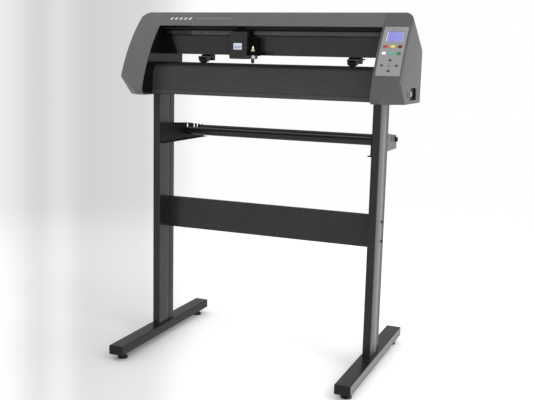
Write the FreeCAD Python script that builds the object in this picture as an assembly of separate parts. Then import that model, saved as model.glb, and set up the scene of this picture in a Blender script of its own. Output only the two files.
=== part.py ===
import FreeCAD, Part
import math
import os

# Floor-standing vinyl cutter for 28-inch class media, on a two-leg stand.
# Millimetres. Origin: centre of the footprint on the floor. +X to the
# operator's right, +Y to the rear, +Z up. The operator stands at -Y.
# Suffixes 0 and 1 on a size name are its low and high ends along that axis.

Vector = FreeCAD.Vector
os.makedirs("parts", exist_ok=True)
SIDES = (-1, 1)              # left, right (or front, rear)

# ---------------------------------------------------------------- dimensions
HEAD_Z0 = 841.0              # underside of the head, top of the legs

# feet and legs
FOOT_X, FOOT_W, FOOT_H, FOOT_L = 377.0, 50.0, 30.0, 600.0
FOOT_Z0 = 20.0
FOOT_Z1 = FOOT_Z0 + FOOT_H
FOOT_WALL = 2.0
CAP_T = 3.0
LEVEL_Y = 262.0
LEG_X = 375.0
LEG_W, LEG_D = 25.0, 100.0
LEG_Z0, LEG_Z1 = FOOT_Z1, HEAD_Z0
LEG_WALL = 2.0
LEG_OUTER_X, LEG_INNER_X = LEG_X + LEG_W / 2, LEG_X - LEG_W / 2
PORT_X, PORT_Y = 6, 42       # screw ports, offset from the leg centre
FOOT_BOLTS = ((-PORT_X, -PORT_Y), (PORT_X, PORT_Y))

# cross panel between the legs
CROSS_Y0, CROSS_Y1 = 18.5, 30.5
CROSS_Z0, CROSS_Z1 = 387.0, 492.0
CROSS_STEPS = 21             # groove pitches over the panel height
CROSS_SCREW_Y = 24.5
CROSS_SCREW_Z = (409.0, 471.0)

# roll brackets and rods; rod places are (y, z)
BRACKET_T = 2.5
BRACKET_Y0, BRACKET_Y1 = -49.0, 272.0
BRACKET_Z0 = 679.0
BRACKET_FLANGE = 13
BRACKET_SCREW_Y, BRACKET_SCREW_Z = (-26, 34), 688.5
ROD_R, STUB_R, SLOT_R = 13.2, 6.0, 6.05
FRONT_ROD = (145.0, 709.0)
REAR_ROD = (246.0, 711.0)
SLOTS = (FRONT_ROD, (196.0, 711.0), (221.0, 711.0), REAR_ROD)

# head
HEAD_X = 463.0               # outer side faces
SEAM_X = 376.2               # inner rims of the end covers
FRONT_C = (333.5, 724.7)     # axis of the curved front (y, z)
PEAK = (21.1, 1112.0)        # where roof and front would meet before rounding (y, z)
FRONT_R = math.hypot(FRONT_C[0] - PEAK[0], PEAK[1] - FRONT_C[1])
REAR_Y = 130.5
ROOF_SLOPE = 32.4            # degrees
SHELL = 2.5
CORNER_R, EDGE_R, FACET_EDGE_R = 43.5, 7.0, 7.0
NOSE_R, RIDGE_R, REAR_EDGE_R = 20.0, 8.0, 12.0
FACET_POINT = (463.0, -112.9, 882.8)   # the lower front outer corners are cut by this plane
FACET_TILT = math.radians(35.0)
FACET_NORMAL = Vector(math.sin(FACET_TILT), -0.6687 * math.cos(FACET_TILT),
                      -0.7435 * math.cos(FACET_TILT))
FASCIA_Z = 1065.1
REAR_GAP_Z = 985.0
PAN_Z0, PAN_Z1 = 844, 846

# screw places on the side plates (y, z)
BEAM_SCREWS = ((30.0, 985.0), (60.0, 1040.0))
PAN_SCREWS = ((-55.0, 868.0), (112.0, 868.0), (0.0, 858.0))
OPEN_HOLES = ((90.0, 938.0), (-26.0, 938.0))      # drilled, no screw fitted

# cutting bed and beam
BED_X = SEAM_X - 0.4         # half length of the parts between the side plates
PLATEN_Z = 946.0
PLATEN_Y0, PLATEN_Y1 = -34.0, 104.0
PLATEN_JOINT = 3.05
APRON_T = 3.0
APRON_Y, REAR_APRON_Y = -75.0, 126.1
APRON_RISE = 53.0            # height of the elliptical roll-over
ROLL_Z = PLATEN_Z - APRON_RISE
BEAM_Y0, BEAM_Y1 = 10.0, 70.0
BEAM_Z0, BEAM_Z1 = 975.0, 1052.0
RAIL_Y0, RAIL_Z0, RAIL_Z1 = 2.0, 1037.5, 1050.5
STRIP_Y, STRIP_DEPTH = -26.0, 1.2

# drive shaft and pinch rollers
SHAFT_Y, SHAFT_Z = 20.0, 934.5
GRIT_R = 12.0
GRIT_BANDS = ((-330.0, -190.0), (-70.0, 70.0), (200.0, 340.0))
GRIT_GROOVES = 14
WHEEL_R = 7.0
WHEEL_Z = SHAFT_Z + GRIT_R + 0.3 + WHEEL_R
PIVOT_Y, PIVOT_Z = 50.0, 962.0
PINCH_X = {"left": -238.0, "right": 272.0}

# belts, pulleys and motors
BELT_X, BELT_Y, BELT_Z0 = 412.0, 8.25, 1055.0
BELT_W, BELT_T, BELT_GAP = 6.0, 1.3, 0.06
BELT_SIDE_GAP = 0.3
BELT_PITCH = 3.0
PITCH_LINE = 0.71            # belt pitch line above the tooth tips
MOTOR_TEETH, SHAFT_TEETH = 16, 36
MOTOR_SHAFT_BORE = 2.55
FEED_PULLEY_X = 385.0
FEED_MOTOR_Z = 884.0
TAB_Z0, TAB_Z1 = 1049, 1052  # side plate tabs under the carriage belt

# carriage
CARRIAGE_X0, CARRIAGE_X1 = -120.0, -28.0
TOOL_X = -42.0
GUIDE_X, GUIDE_Y = (-52.0, -30.6), -19.4
CLAMP_Y, CLAMP_Z = -28.5, 982.0

# control panel: wraps the curved front, positions given by x and height
CONSOLE_X0, CONSOLE_X1 = 383.9, 455.4
CONSOLE_Z0, CONSOLE_Z1 = 923.0, 1064.5
LCD_X0, LCD_X1 = 395.4, 444.4
LCD_Z, LCD_HALF_H = 1036.6, 19.2
# half width, half height, top above the face
KEY_SIZES = {"large": (6.6, 4.8, 3.0), "small": (4.6, 3.6, 2.7)}
# name: x, height, size
KEYS = {
    "key_red": (398.7, 1006.8, "large"), "key_yellow": (420.1, 1006.8, "large"),
    "key_maroon": (442.0, 1006.8, "large"), "key_white": (398.0, 987.1, "large"),
    "key_teal": (420.4, 987.1, "large"), "key_green": (442.3, 987.1, "large"),
    "key_up": (420.4, 967.5, "small"), "key_left": (397.8, 952.7, "small"),
    "key_enter": (420.2, 952.7, "small"), "key_right": (442.0, 952.7, "small"),
    "key_down": (419.8, 937.5, "small"),
}
SWITCH_Y, SWITCH_Z = -38.0, 870.0
ROCKER_AXIS_X = HEAD_X - 5.5


# ------------------------------------------------------------------- helpers
def box(x0, x1, y0, y1, z0, z1):
    return Part.makeBox(x1 - x0, y1 - y0, z1 - z0, Vector(x0, y0, z0))


def cylinder(radius, start, end):
    base, tip = Vector(*start), Vector(*end)
    return Part.makeCylinder(radius, (tip - base).Length, base, tip - base)


def cyl_x(radius, x0, x1, y, z):
    return cylinder(radius, (x0, y, z), (x1, y, z))


def cyl_y(radius, x, y0, y1, z):
    return cylinder(radius, (x, y0, z), (x, y1, z))


def cyl_z(radius, x, y, z0, z1):
    return cylinder(radius, (x, y, z0), (x, y, z1))


def polygon_face(points):
    return Part.Face(Part.makePolygon(points + [points[0]]))


def prism_x(outline, x0, x1):
    """Extrude a (y, z) outline."""
    return polygon_face([Vector(x0, y, z) for y, z in outline]).extrude(Vector(x1 - x0, 0, 0))


def prism_y(outline, y0, y1):
    """Extrude an (x, z) outline."""
    return polygon_face([Vector(x, y0, z) for x, z in outline]).extrude(Vector(0, y1 - y0, 0))


def prism_z(outline, z0, z1):
    """Extrude an (x, y) outline."""
    return polygon_face([Vector(x, y, z0) for x, y in outline]).extrude(Vector(0, 0, z1 - z0))


def revolved(profile):
    """Turn an (r, z) profile about the Z axis."""
    face = polygon_face([Vector(r, 0, z) for r, z in profile])
    return face.revolve(Vector(0, 0, 0), Vector(0, 0, 1), 360)


def arc_points(u, v, radius, start, end, steps):
    """Points on an arc about (u, v), angles in degrees."""
    angles = [math.radians(start + (end - start) * i / steps) for i in range(steps + 1)]
    return [(u + radius * math.cos(a), v + radius * math.sin(a)) for a in angles]


def ring_points(count, radius, u=0.0, v=0.0):
    """Evenly spaced points on a full circle about (u, v)."""
    angles = [2 * math.pi * i / count for i in range(count)]
    return [(u + radius * math.cos(a), v + radius * math.sin(a)) for a in angles]


def hexagon(across_flats):
    return ring_points(6, across_flats / math.sqrt(3.0))


def fuse(*shapes):
    result = shapes[0]
    if len(shapes) > 1:
        result = result.multiFuse(list(shapes[1:]))
    return result.removeSplitter()


def cut(shape, *tools):
    for tool in tools:
        shape = shape.cut(tool)
    return shape


def mirror_x(shape):
    return shape.mirror(Vector(0, 0, 0), Vector(1, 0, 0))


def group(*shapes):
    return Part.makeCompound([solid for shape in shapes for solid in shape.Solids])


def try_fillet(shape, radius, test):
    """Round the open edges whose two end points both pass the test."""
    edges = [e for e in shape.Edges
             if len(e.Vertexes) == 2 and all(test(v.Point) for v in e.Vertexes)]
    if not edges:
        return shape
    # the kernel may refuse an edge; the shape then stays sharp
    try:
        rounded = shape.makeFillet(radius, edges)
        if rounded.isValid() and rounded.Volume > 0:
            return rounded
    except Exception:
        pass
    return shape


def rbox(x0, x1, y0, y1, z0, z1, radius, axis):
    """Box with the four edges along axis rounded."""
    shape = box(x0, x1, y0, y1, z0, z1)
    index = "xyz".index(axis)
    edges = [e for e in shape.Edges
             if abs((e.Vertexes[1].Point - e.Vertexes[0].Point)[index]) > 1e-6]
    return shape.makeFillet(radius, edges)


def groove_x(outer_r, inner_r, x0, x1, y, z):
    """Ring about an X axis, for cutting a groove round a roller."""
    return cut(cyl_x(outer_r, x0, x1, y, z), cyl_x(inner_r, x0, x1, y, z))


def button_screw(diameter, length, head_d, head_h, socket):
    """Button-head socket screw along +Z, head underside at z=0, shank down."""
    head_r, shank_r = head_d / 2.0, diameter / 2.0
    screw = revolved([
        (0, head_h), (head_r * 0.45, head_h), (head_r * 0.8, head_h * 0.72),
        (head_r, head_h * 0.25), (head_r, 0), (shank_r, 0), (shank_r, -length + 0.6),
        (shank_r - 0.6, -length), (0, -length)])
    return screw.cut(prism_z(hexagon(socket), head_h * 0.35, head_h + 1))


def m5_screw(length):
    return button_screw(5.0, length, head_d=9.5, head_h=2.8, socket=3.0)


def placed(shape, origin, zdir):
    """Copy of shape with its local +Z turned to zdir and its origin moved to origin."""
    copy = shape.copy()
    turn = FreeCAD.Rotation(Vector(0, 0, 1), Vector(*zdir))
    copy.Placement = FreeCAD.Placement(Vector(*origin), turn)
    return copy


def front_angle(z, offset=0.0):
    return math.asin((z - FRONT_C[1]) / (FRONT_R + offset))


def front_y(z):
    return FRONT_C[0] - FRONT_R * math.cos(front_angle(z))


def on_front(shape, z):
    """Move from local (x, up the face, outward) to height z on the curved front."""
    angle = front_angle(z)
    copy = shape.copy()
    copy.Placement = FreeCAD.Placement(FreeCAD.Matrix(
        1, 0, 0, 0,
        0, math.sin(angle), -math.cos(angle), front_y(z),
        0, math.cos(angle), math.sin(angle), z,
        0, 0, 0, 1))
    return copy


def front_band(x0, x1, z0, z1, inner, outer):
    """Curved plate between two outward distances, from height z0 to z1."""
    def at(z, offset):
        angle = front_angle(z)
        return Vector(x0, FRONT_C[0] - (FRONT_R + offset) * math.cos(angle),
                      FRONT_C[1] + (FRONT_R + offset) * math.sin(angle))
    mid_angle = (front_angle(z0) + front_angle(z1)) / 2
    mid_z = FRONT_C[1] + FRONT_R * math.sin(mid_angle)
    edges = [
        Part.Arc(at(z0, inner), at(mid_z, inner), at(z1, inner)).toShape(),
        Part.makeLine(at(z1, inner), at(z1, outer)),
        Part.Arc(at(z1, outer), at(mid_z, outer), at(z0, outer)).toShape(),
        Part.makeLine(at(z0, outer), at(z0, inner))]
    return Part.Face(Part.Wire(edges)).extrude(Vector(x1 - x0, 0, 0))


def save(name, shape):
    """Export as one solid, or as a compound where there are several."""
    solids = shape.Solids
    shape = solids[0] if len(solids) == 1 else Part.makeCompound(solids)
    shape.exportStep("parts/%s.step" % name)


# ===================================================================== stand
def foot_tube(side):
    """Rectangular tube along Y with bolt holes and levelling foot holes."""
    foot_x = side * FOOT_X
    x0, x1 = foot_x - FOOT_W / 2, foot_x + FOOT_W / 2
    tube = rbox(x0, x1, -FOOT_L / 2, FOOT_L / 2, FOOT_Z0, FOOT_Z1, 3.0, "y")
    tube = cut(tube, rbox(x0 + FOOT_WALL, x1 - FOOT_WALL, -FOOT_L / 2 - 1, FOOT_L / 2 + 1,
                          FOOT_Z0 + FOOT_WALL, FOOT_Z1 - FOOT_WALL, 1.0, "y"))
    for dx, y in FOOT_BOLTS:
        x = side * LEG_X + dx
        tube = cut(tube, cyl_z(2.6, x, y, FOOT_Z1 - 4, FOOT_Z1 + 1),
                   cyl_z(6.0, x, y, FOOT_Z0 - 1, FOOT_Z0 + 4))
    for y in (-LEVEL_Y, LEVEL_Y):
        tube = cut(tube, cyl_z(4.05, foot_x, y, FOOT_Z0 - 1, FOOT_Z0 + 4))
    return tube


def foot_cap(side, end):
    """Cap on a foot tube's end with a hollow plug reaching inside."""
    x = side * FOOT_X
    joint_y = end * FOOT_L / 2
    outer_y = joint_y + end * CAP_T
    y0, y1 = sorted((joint_y, outer_y))
    cap = rbox(x - FOOT_W / 2, x + FOOT_W / 2, y0, y1, FOOT_Z0, FOOT_Z1, 3.0, "y")
    cap = try_fillet(cap, 1.2, lambda p: abs(p.y - outer_y) < 1e-6)
    y0, y1 = sorted((joint_y, joint_y - end * 14.0))
    plug = rbox(x - 22.95, x + 22.95, y0, y1, FOOT_Z0 + 2.05, FOOT_Z1 - 2.05, 1.0, "y")
    y0, y1 = sorted((joint_y - end * 2, joint_y - end * 15))
    plug = cut(plug, box(x - 20.5, x + 20.5, y0, y1, FOOT_Z0 + 4.5, FOOT_Z1 - 4.5))
    return fuse(cap, plug)


def levelling_foot(x, y):
    """Turned pad and stud with a hexagon nut under the foot tube."""
    foot = revolved([(0, 0), (17, 0), (17, 3.5), (14, 7), (7, 9), (4, 9), (4, 38),
                     (3.2, 39), (0, 39)])
    foot = fuse(foot, prism_z(hexagon(13), 13.4, 19.98))
    foot.translate(Vector(x, y, 0))
    return foot


def leg(side):
    """Upright extrusion with a shallow faceted groove near the rear of both side faces."""
    half_w, half_d = LEG_W / 2, LEG_D / 2
    right_side = [(half_w - 1.5, -half_d), (half_w, -half_d + 1.5), (half_w, 8),
                  (half_w - 1.3, 21.5), (half_w, 22.2), (half_w, half_d - 1.5),
                  (half_w - 1.5, half_d)]
    outline = right_side + [(-x, y) for x, y in reversed(right_side)]
    body = prism_z(outline, LEG_Z0, LEG_Z1)
    # cavities: y0, y1, side wall
    for y0, y1, wall in ((-half_d + LEG_WALL, -1, LEG_WALL), (1, 20.5, 3.4),
                         (22.5, half_d - LEG_WALL, LEG_WALL)):
        inner = half_w - wall
        body = cut(body, box(-inner, inner, y0, y1, LEG_Z0 - 1, LEG_Z1 + 1))
    corners = [(sx, sy) for sx in SIDES for sy in SIDES]
    ports = []
    for sx, sy in corners:
        x0, x1 = sorted((sx * (PORT_X - 4.5), sx * (PORT_X + 5)))
        y0, y1 = sorted((sy * (PORT_Y - 4.5), sy * (PORT_Y + 6.5)))
        ports.append(box(x0, x1, y0, y1, LEG_Z0, LEG_Z1))
    body = fuse(body, *ports)
    for sx, sy in corners:
        body = cut(body, cyl_z(2.55, sx * PORT_X, sy * PORT_Y, LEG_Z0 - 1, LEG_Z1 + 1))
    leg_x = side * LEG_X
    body.translate(Vector(leg_x, 0, 0))
    for z in CROSS_SCREW_Z:
        body = cut(body, cyl_x(2.6, leg_x - 20, leg_x + 20, CROSS_SCREW_Y, z))
    for y in BRACKET_SCREW_Y:
        body = cut(body, cyl_x(2.6, side * (LEG_INNER_X - 1), side * (LEG_INNER_X + 4),
                               y, BRACKET_SCREW_Z))
    return body


def cross_panel():
    """Hollow extrusion between the legs, grooved on its front face."""
    pitch = (CROSS_Z1 - CROSS_Z0) / CROSS_STEPS
    front, groove_y = CROSS_Y0, CROSS_Y0 + 0.8
    face = []
    for i in range(1, CROSS_STEPS):
        z = CROSS_Z0 + i * pitch
        face += [(front, z - 0.55), (groove_y, z - 0.2), (groove_y, z + 0.2), (front, z + 0.55)]
    outline = [(front + 1, CROSS_Z0), (front, CROSS_Z0 + 1)] + face + [
        (front, CROSS_Z1 - 1), (front + 1, CROSS_Z1), (CROSS_Y1 - 1, CROSS_Z1),
        (CROSS_Y1, CROSS_Z1 - 1), (CROSS_Y1, CROSS_Z0 + 1), (CROSS_Y1 - 1, CROSS_Z0)]
    half = LEG_INNER_X
    panel = prism_x(outline, -half, half)
    low, high = CROSS_SCREW_Z
    for z0, z1 in ((CROSS_Z0 + 2, low - 6), (low + 6, high - 6), (high + 6, CROSS_Z1 - 2)):
        panel = cut(panel, box(-half - 1, half + 1, CROSS_Y0 + 2.4, CROSS_Y1 - 1.8, z0, z1))
    for z in CROSS_SCREW_Z:
        panel = cut(panel, cyl_x(2.55, -half - 1, half + 1, CROSS_SCREW_Y, z))
    return panel


def roll_bracket():
    """Right-hand plate with inward flanges and slots, open at the top, for the rods."""
    outer = LEG_INNER_X
    flange = outer - BRACKET_FLANGE
    outline = [(BRACKET_Y0, 684), (BRACKET_Y0 + 5, BRACKET_Z0), (BRACKET_Y1, BRACKET_Z0),
               (266.0, 722.0), (264.0, 724.0), (146, 737.5), (BRACKET_Y0 + 4, 748.5),
               (BRACKET_Y0, 745)]
    plate = prism_x(outline, outer - BRACKET_T, outer)
    low = box(flange, outer, BRACKET_Y0 + 5, BRACKET_Y1 - 0.8,
              BRACKET_Z0, BRACKET_Z0 + BRACKET_T)
    top = [(52, 742.35), (132, 738.3), (132, 735.8), (52, 739.85)]
    plate = fuse(plate, low, prism_x(top, flange, outer))
    for y, z in SLOTS:
        plate = cut(plate, cyl_x(SLOT_R, outer - 20, outer + 5, y, z),
                    box(outer - 20, outer + 5, y - SLOT_R, y + SLOT_R, z, 760))
    for y in BRACKET_SCREW_Y:
        plate = cut(plate, cyl_x(2.6, outer - 10, outer + 5, y, BRACKET_SCREW_Z))
    return plate


def stand_screws():
    cross_screw = button_screw(5.0, 45.0, head_d=10.0, head_h=4.6, socket=4.0)
    screws = []
    for side in SIDES:
        for z in CROSS_SCREW_Z:
            screws.append(placed(cross_screw, (side * LEG_OUTER_X, CROSS_SCREW_Y, z),
                                 (side, 0, 0)))
        for y in BRACKET_SCREW_Y:
            origin = (side * (LEG_INNER_X - BRACKET_T), y, BRACKET_SCREW_Z)
            screws.append(placed(m5_screw(6.0), origin, (-side, 0, 0)))
        for dx, y in FOOT_BOLTS:
            origin = (side * LEG_X + dx, y, FOOT_Z1 - FOOT_WALL)
            screws.append(placed(m5_screw(18.0), origin, (0, 0, -1)))
    return group(*screws)


def roll_rod(place, stub_x):
    """Tube with solid ends turned down to stub axles."""
    y, z = place
    half = LEG_INNER_X - BRACKET_T - 0.6
    rod = cut(cyl_x(ROD_R, -half, half, y, z),
              cyl_x(ROD_R - 2, -half + 18, half - 18, y, z))
    rod = fuse(rod, cyl_x(STUB_R, -stub_x, -half + 1, y, z),
               cyl_x(STUB_R, half - 1, stub_x, y, z))
    for side in SIDES:
        rod = cut(rod, groove_x(ROD_R + 1, ROD_R - 0.5,
                                side * (half - 12), side * (half - 10.8), y, z))
    return rod


def rod_cap(side):
    """Cap over the end of the rear rod's stub axle."""
    start = LEG_INNER_X
    cap = cyl_x(7.75, side * (start + 0.5), side * (start + 8.5), *REAR_ROD)
    return cap.cut(cyl_x(STUB_R + 0.01, side * (start - 1), side * (start + 6.55), *REAR_ROD))


save("foot_tubes", group(*[foot_tube(side) for side in SIDES]))
save("foot_end_caps", group(*[foot_cap(side, end) for side in SIDES for end in SIDES]))
save("levelling_feet", group(*[levelling_foot(side * FOOT_X, end * LEVEL_Y)
                               for side in SIDES for end in SIDES]))
save("legs", group(*[leg(side) for side in SIDES]))
save("cross_panel", cross_panel())
right_bracket = roll_bracket()
save("roll_brackets", group(mirror_x(right_bracket), right_bracket))
save("stand_screws", stand_screws())
save("front_roll_rod", roll_rod(FRONT_ROD, LEG_INNER_X))
save("rear_roll_rod", roll_rod(REAR_ROD, LEG_INNER_X + 6.5))
save("rear_rod_caps", group(*[rod_cap(side) for side in SIDES]))


# ================================================================ head shell
def head_profile(inset):
    """Side outline of the head as a face at x=0, pulled in by inset."""
    slope = math.radians(ROOF_SLOPE)
    centre_y, centre_z = FRONT_C
    radius = FRONT_R - inset
    bottom, rear = HEAD_Z0 + inset, REAR_Y - inset
    peak_y = PEAK[0] - inset * math.sin(slope)
    peak_z = PEAK[1] - inset * math.cos(slope)
    rear_top = peak_z - (rear - peak_y) * math.tan(slope)
    # distance along the roof line from the peak to the front arc
    run, fall = math.cos(slope), -math.sin(slope)
    off_y, off_z = peak_y - centre_y, peak_z - centre_z
    along = off_y * run + off_z * fall
    root = math.sqrt(along ** 2 - (off_y ** 2 + off_z ** 2 - radius ** 2))
    distance = min((-along - root, -along + root), key=abs)
    top = Vector(0, peak_y + distance * run, peak_z + distance * fall)
    nose = Vector(0, centre_y - math.sqrt(radius ** 2 - (bottom - centre_z) ** 2), bottom)
    mid_angle = (math.asin((top.z - centre_z) / radius)
                 + math.asin((bottom - centre_z) / radius)) / 2
    mid = Vector(0, centre_y - radius * math.cos(mid_angle),
                 centre_z + radius * math.sin(mid_angle))
    roof_end, heel = Vector(0, rear, rear_top), Vector(0, rear, bottom)
    edges = [Part.Arc(nose, mid, top).toShape(), Part.makeLine(top, roof_end),
             Part.makeLine(roof_end, heel), Part.makeLine(heel, nose)]
    return Part.Face(Part.Wire(edges))


def head_body(inset, x0, x1):
    """Head outline extruded along X, with ridge, rear and nose edges rounded."""
    body = head_profile(inset).extrude(Vector(x1 - x0, 0, 0))
    body.translate(Vector(x0, 0, 0))
    # radius, then the y and z ranges that hold the edge
    for radius, y0, y1, z0, z1 in ((RIDGE_R, 0, 40, 1095, 1120),
                                   (REAR_EDGE_R, 115, 135, 1025, 1050),
                                   (NOSE_R, -160, -135, 835, 850)):
        body = try_fillet(body, radius - inset,
                          lambda p: y0 < p.y < y1 and z0 < p.z < z1)
    return body


def shoulder_round(body, radius, side_x, inset):
    """Round the edge between roof and side face with a sweep along the roof slope."""
    slope = math.radians(ROOF_SLOPE)
    down_roof = Vector(0, math.cos(slope), -math.sin(slope))
    normal = Vector(0, math.sin(slope), math.cos(slope))
    origin = Vector(0, *PEAK) - down_roof * 200 - normal * inset
    proud = 0.15                 # arc just proud, so it meets both faces at a small angle
    start_x = side_x - radius

    def at(x, height):
        return origin + Vector(x + proud, 0, 0) + normal * (height + proud)
    diagonal = radius * math.sin(math.radians(45))
    corners = [at(side_x, -radius), at(side_x + 60, -radius), at(side_x + 60, 60),
               at(start_x, 60), at(start_x, 0)]
    edges = [Part.Arc(corners[4], at(start_x + diagonal, -radius + diagonal),
                      corners[0]).toShape()]
    edges += [Part.makeLine(a, b) for a, b in zip(corners, corners[1:])]
    return body.cut(Part.Face(Part.Wire(edges)).extrude(down_roof * 500))


def facet_cut(body, inset):
    """Cut the lower front outer corner off along the facet plane."""
    tool = Part.makeBox(400, 400, 100, Vector(-200, -200, 0))
    tool.Placement = FreeCAD.Placement(Vector(*FACET_POINT) - FACET_NORMAL * inset,
                                       FreeCAD.Rotation(Vector(0, 0, 1), FACET_NORMAL))
    return body.cut(tool)


def edge_round(body, radius, side_x, inset):
    """Round the edge where the curved front meets the side face."""
    proud = 0.12                 # just proud of both faces, as for the shoulder
    x = side_x - radius + proud
    y = FRONT_R - inset - radius + proud
    diagonal = radius * math.sin(math.radians(45))
    corners = [Vector(x + radius, y, 0), Vector(x + radius + 20, y, 0),
               Vector(x + radius + 20, y + radius + 20, 0),
               Vector(x, y + radius + 20, 0), Vector(x, y + radius, 0)]
    edges = [Part.Arc(corners[4], Vector(x + diagonal, y + diagonal, 0),
                      corners[0]).toShape()]
    edges += [Part.makeLine(a, b) for a, b in zip(corners, corners[1:])]
    section = Part.Face(Part.Wire(edges))
    # lay the section out at the lowest angle, then sweep it up the front
    low = math.degrees(front_angle(HEAD_Z0 - 8))
    high = math.degrees(front_angle(PEAK[1])) + 3
    section.rotate(Vector(0, 0, 0), Vector(1, 0, 0), 180 - low)
    tool = section.revolve(Vector(0, 0, 0), Vector(1, 0, 0), -(high - low))
    tool.translate(Vector(0, *FRONT_C))
    return body.cut(tool)


def facet_round(body, radius, inset):
    """Soften the edges of the corner facet with the largest radius that works."""
    origin = Vector(*FACET_POINT) - FACET_NORMAL * inset
    for scale in (1, 0.75, 0.5, 0.3):
        edges = [e for e in body.Edges if len(e.Vertexes) == 2
                 and all(abs((v.Point - origin).dot(FACET_NORMAL)) < 0.02
                         for v in e.Vertexes)]
        outer_edges = [e for e in edges if e.BoundBox.XMin > HEAD_X - 30 - inset
                       and e.BoundBox.ZMax < HEAD_Z0 + 62]
        for chosen in (edges, outer_edges):
            # the kernel may refuse a radius or an edge set; the next one is then tried
            try:
                rounded = body.makeFillet(radius * scale, chosen)
                if rounded.isValid() and 0 < rounded.Volume < body.Volume:
                    return rounded
            except Exception:
                pass
    return body


def cover_body(inset, x0):
    """Solid right-hand end of the head, pulled in by inset."""
    side_x = HEAD_X - inset
    body = head_body(inset, x0, side_x)
    body = shoulder_round(body, CORNER_R - inset, side_x, inset)
    body = edge_round(facet_cut(body, inset), EDGE_R - inset, side_x, inset)
    return facet_round(body, FACET_EDGE_R - inset, inset)


def socket_arch(x0, x1, grow=0.0):
    """Recess shape with rounded upper corners, around the sockets."""
    y0, y1, z0, z1 = -14.0 - grow, 72.0 + grow, 851.0 - grow, 888.0 + grow
    radius = 17.0 + grow
    outline = [(y0, z0), (y1, z0)]
    outline += arc_points(y1 - radius, z1 - radius, radius, 0, 90, 10)
    outline += arc_points(y0 + radius, z1 - radius, radius, 90, 180, 10)
    return prism_x(outline, x0, x1)


def switch_oval(x0, x1, grow=0.0):
    """Tall rounded shape of the power switch."""
    half_y, half_z = 13.0 + grow, 15.0 + grow
    return rbox(x0, x1, SWITCH_Y - half_y, SWITCH_Y + half_y,
                SWITCH_Z - half_z, SWITCH_Z + half_z, half_y - 1.0, "x")


def left_end_cover(cover):
    """Mirrored cover with a row of vent slots in the side face."""
    for i in range(7):
        y = 10 + i * 11
        cover = cover.cut(rbox(HEAD_X - 6, HEAD_X + 2, y, y + 4.5, 862, 902, 1.8, "x"))
    return mirror_x(cover)


def right_end_cover(cover):
    """Cover with openings for the control panel, the sockets and the switch."""
    return cut(cover,
               front_band(CONSOLE_X0 + 2.2, CONSOLE_X1 - 2.2,
                          CONSOLE_Z0 + 2.0, CONSOLE_Z1 - 1.8, -6, 3),
               socket_arch(HEAD_X - 6, HEAD_X + 2), switch_oval(HEAD_X - 6, HEAD_X + 2))


def side_plate(side):
    """Cheek at the seam of an end cover, with a tab at the belt's end."""
    plate = head_profile(SHELL + 0.8).extrude(Vector(3.0, 0, 0))
    plate.translate(Vector(SEAM_X + 0.2, 0, 0))
    plate = try_fillet(plate, 10.0, lambda p: p.y > 95 and p.z > 985)
    plate = try_fillet(plate, 18.0, lambda p: p.y < -130 and p.z < 850)
    plate = try_fillet(plate, 8.0, lambda p: p.y < 40 and p.z > 1080)
    x0, x1 = SEAM_X - 1, SEAM_X + 6
    plate = cut(plate, cyl_x(9.55, x0, x1, SHAFT_Y, SHAFT_Z))
    plate = cut(plate, rbox(x0, x1, -4, 20.5, 1052.5, 1064, 1.5, "x"))
    for y, z in BEAM_SCREWS + PAN_SCREWS + OPEN_HOLES:
        plate = cut(plate, cyl_x(2.15, x0, x1, y, z))
    tab_x0, tab_x1 = SEAM_X + 1, 432.0
    if side > 0:
        # idler tab with its pin
        return fuse(plate, box(tab_x0, tab_x1, -6, 24, TAB_Z0, TAB_Z1),
                    cyl_z(2.5, BELT_X, BELT_Y, 1051, 1064))
    # motor tab with a clearance hole
    tab = box(tab_x0, tab_x1 + 3, -15, 31.5, TAB_Z0, TAB_Z1)
    tab = cut(tab, cyl_z(11.2, BELT_X, BELT_Y, 1040, 1060))
    return mirror_x(fuse(plate, tab))


def top_cover():
    """Folded shell from the fascia over the roof to the rear lip."""
    shell = cut(head_body(0, -BED_X, BED_X), head_body(SHELL, -SEAM_X - 5, SEAM_X + 5))
    shell = cut(shell, box(-400, 400, -200, 40, 800, FASCIA_Z),
                box(-400, 400, 39, 200, 800, REAR_GAP_Z))
    y = front_y(FASCIA_Z)
    front_lip = prism_x([(y + 1.2, FASCIA_Z), (y + 9, FASCIA_Z), (y + 9, FASCIA_Z + 2),
                         (y + 2.4, FASCIA_Z + 2)], -BED_X, BED_X)
    rear_lip = box(-BED_X, BED_X, REAR_Y - 10, REAR_Y - 0.5, REAR_GAP_Z, REAR_GAP_Z + 2)
    return fuse(shell, front_lip, rear_lip)


def bottom_pan():
    """Folded tray under the machine, resting on the legs."""
    half = SEAM_X - 0.2
    pan = fuse(box(-half, half, -64, 125.5, PAN_Z0, PAN_Z1),
               box(-half, half, -64, -62, PAN_Z0, 858),
               box(-half, half, 123.5, 125.5, PAN_Z0, 880),
               box(-half, -half + 2, -62.5, 124.5, PAN_Z0, 876),
               box(half - 2, half, -62.5, 124.5, PAN_Z0, 876),
               box(-half, -LEG_INNER_X, -50, 50, HEAD_Z0, PAN_Z0 + 0.5),
               box(LEG_INNER_X, half, -50, 50, HEAD_Z0, PAN_Z0 + 0.5))
    for side in SIDES:
        for y in (-PORT_Y, PORT_Y):
            pan = cut(pan, cyl_z(2.6, side * (LEG_X - PORT_X), y, 840, 848))
        for y, z in PAN_SCREWS:
            pan = cut(pan, cyl_x(2.05, side * (half - 5), side * (half + 2), y, z))
    for i in range(18):
        x = -255 + i * 30
        pan = cut(pan, rbox(x, x + 18, 60, 64, 840, 848, 1.9, "z"))
    return pan


blank_cover = cover_body(0, SEAM_X).cut(cover_body(SHELL, SEAM_X - 5))
save("left_end_cover", left_end_cover(blank_cover.copy()))
save("right_end_cover", right_end_cover(blank_cover))
save("side_plates", group(*[side_plate(side) for side in SIDES]))
save("top_cover", top_cover())
save("bottom_pan", bottom_pan())


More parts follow.
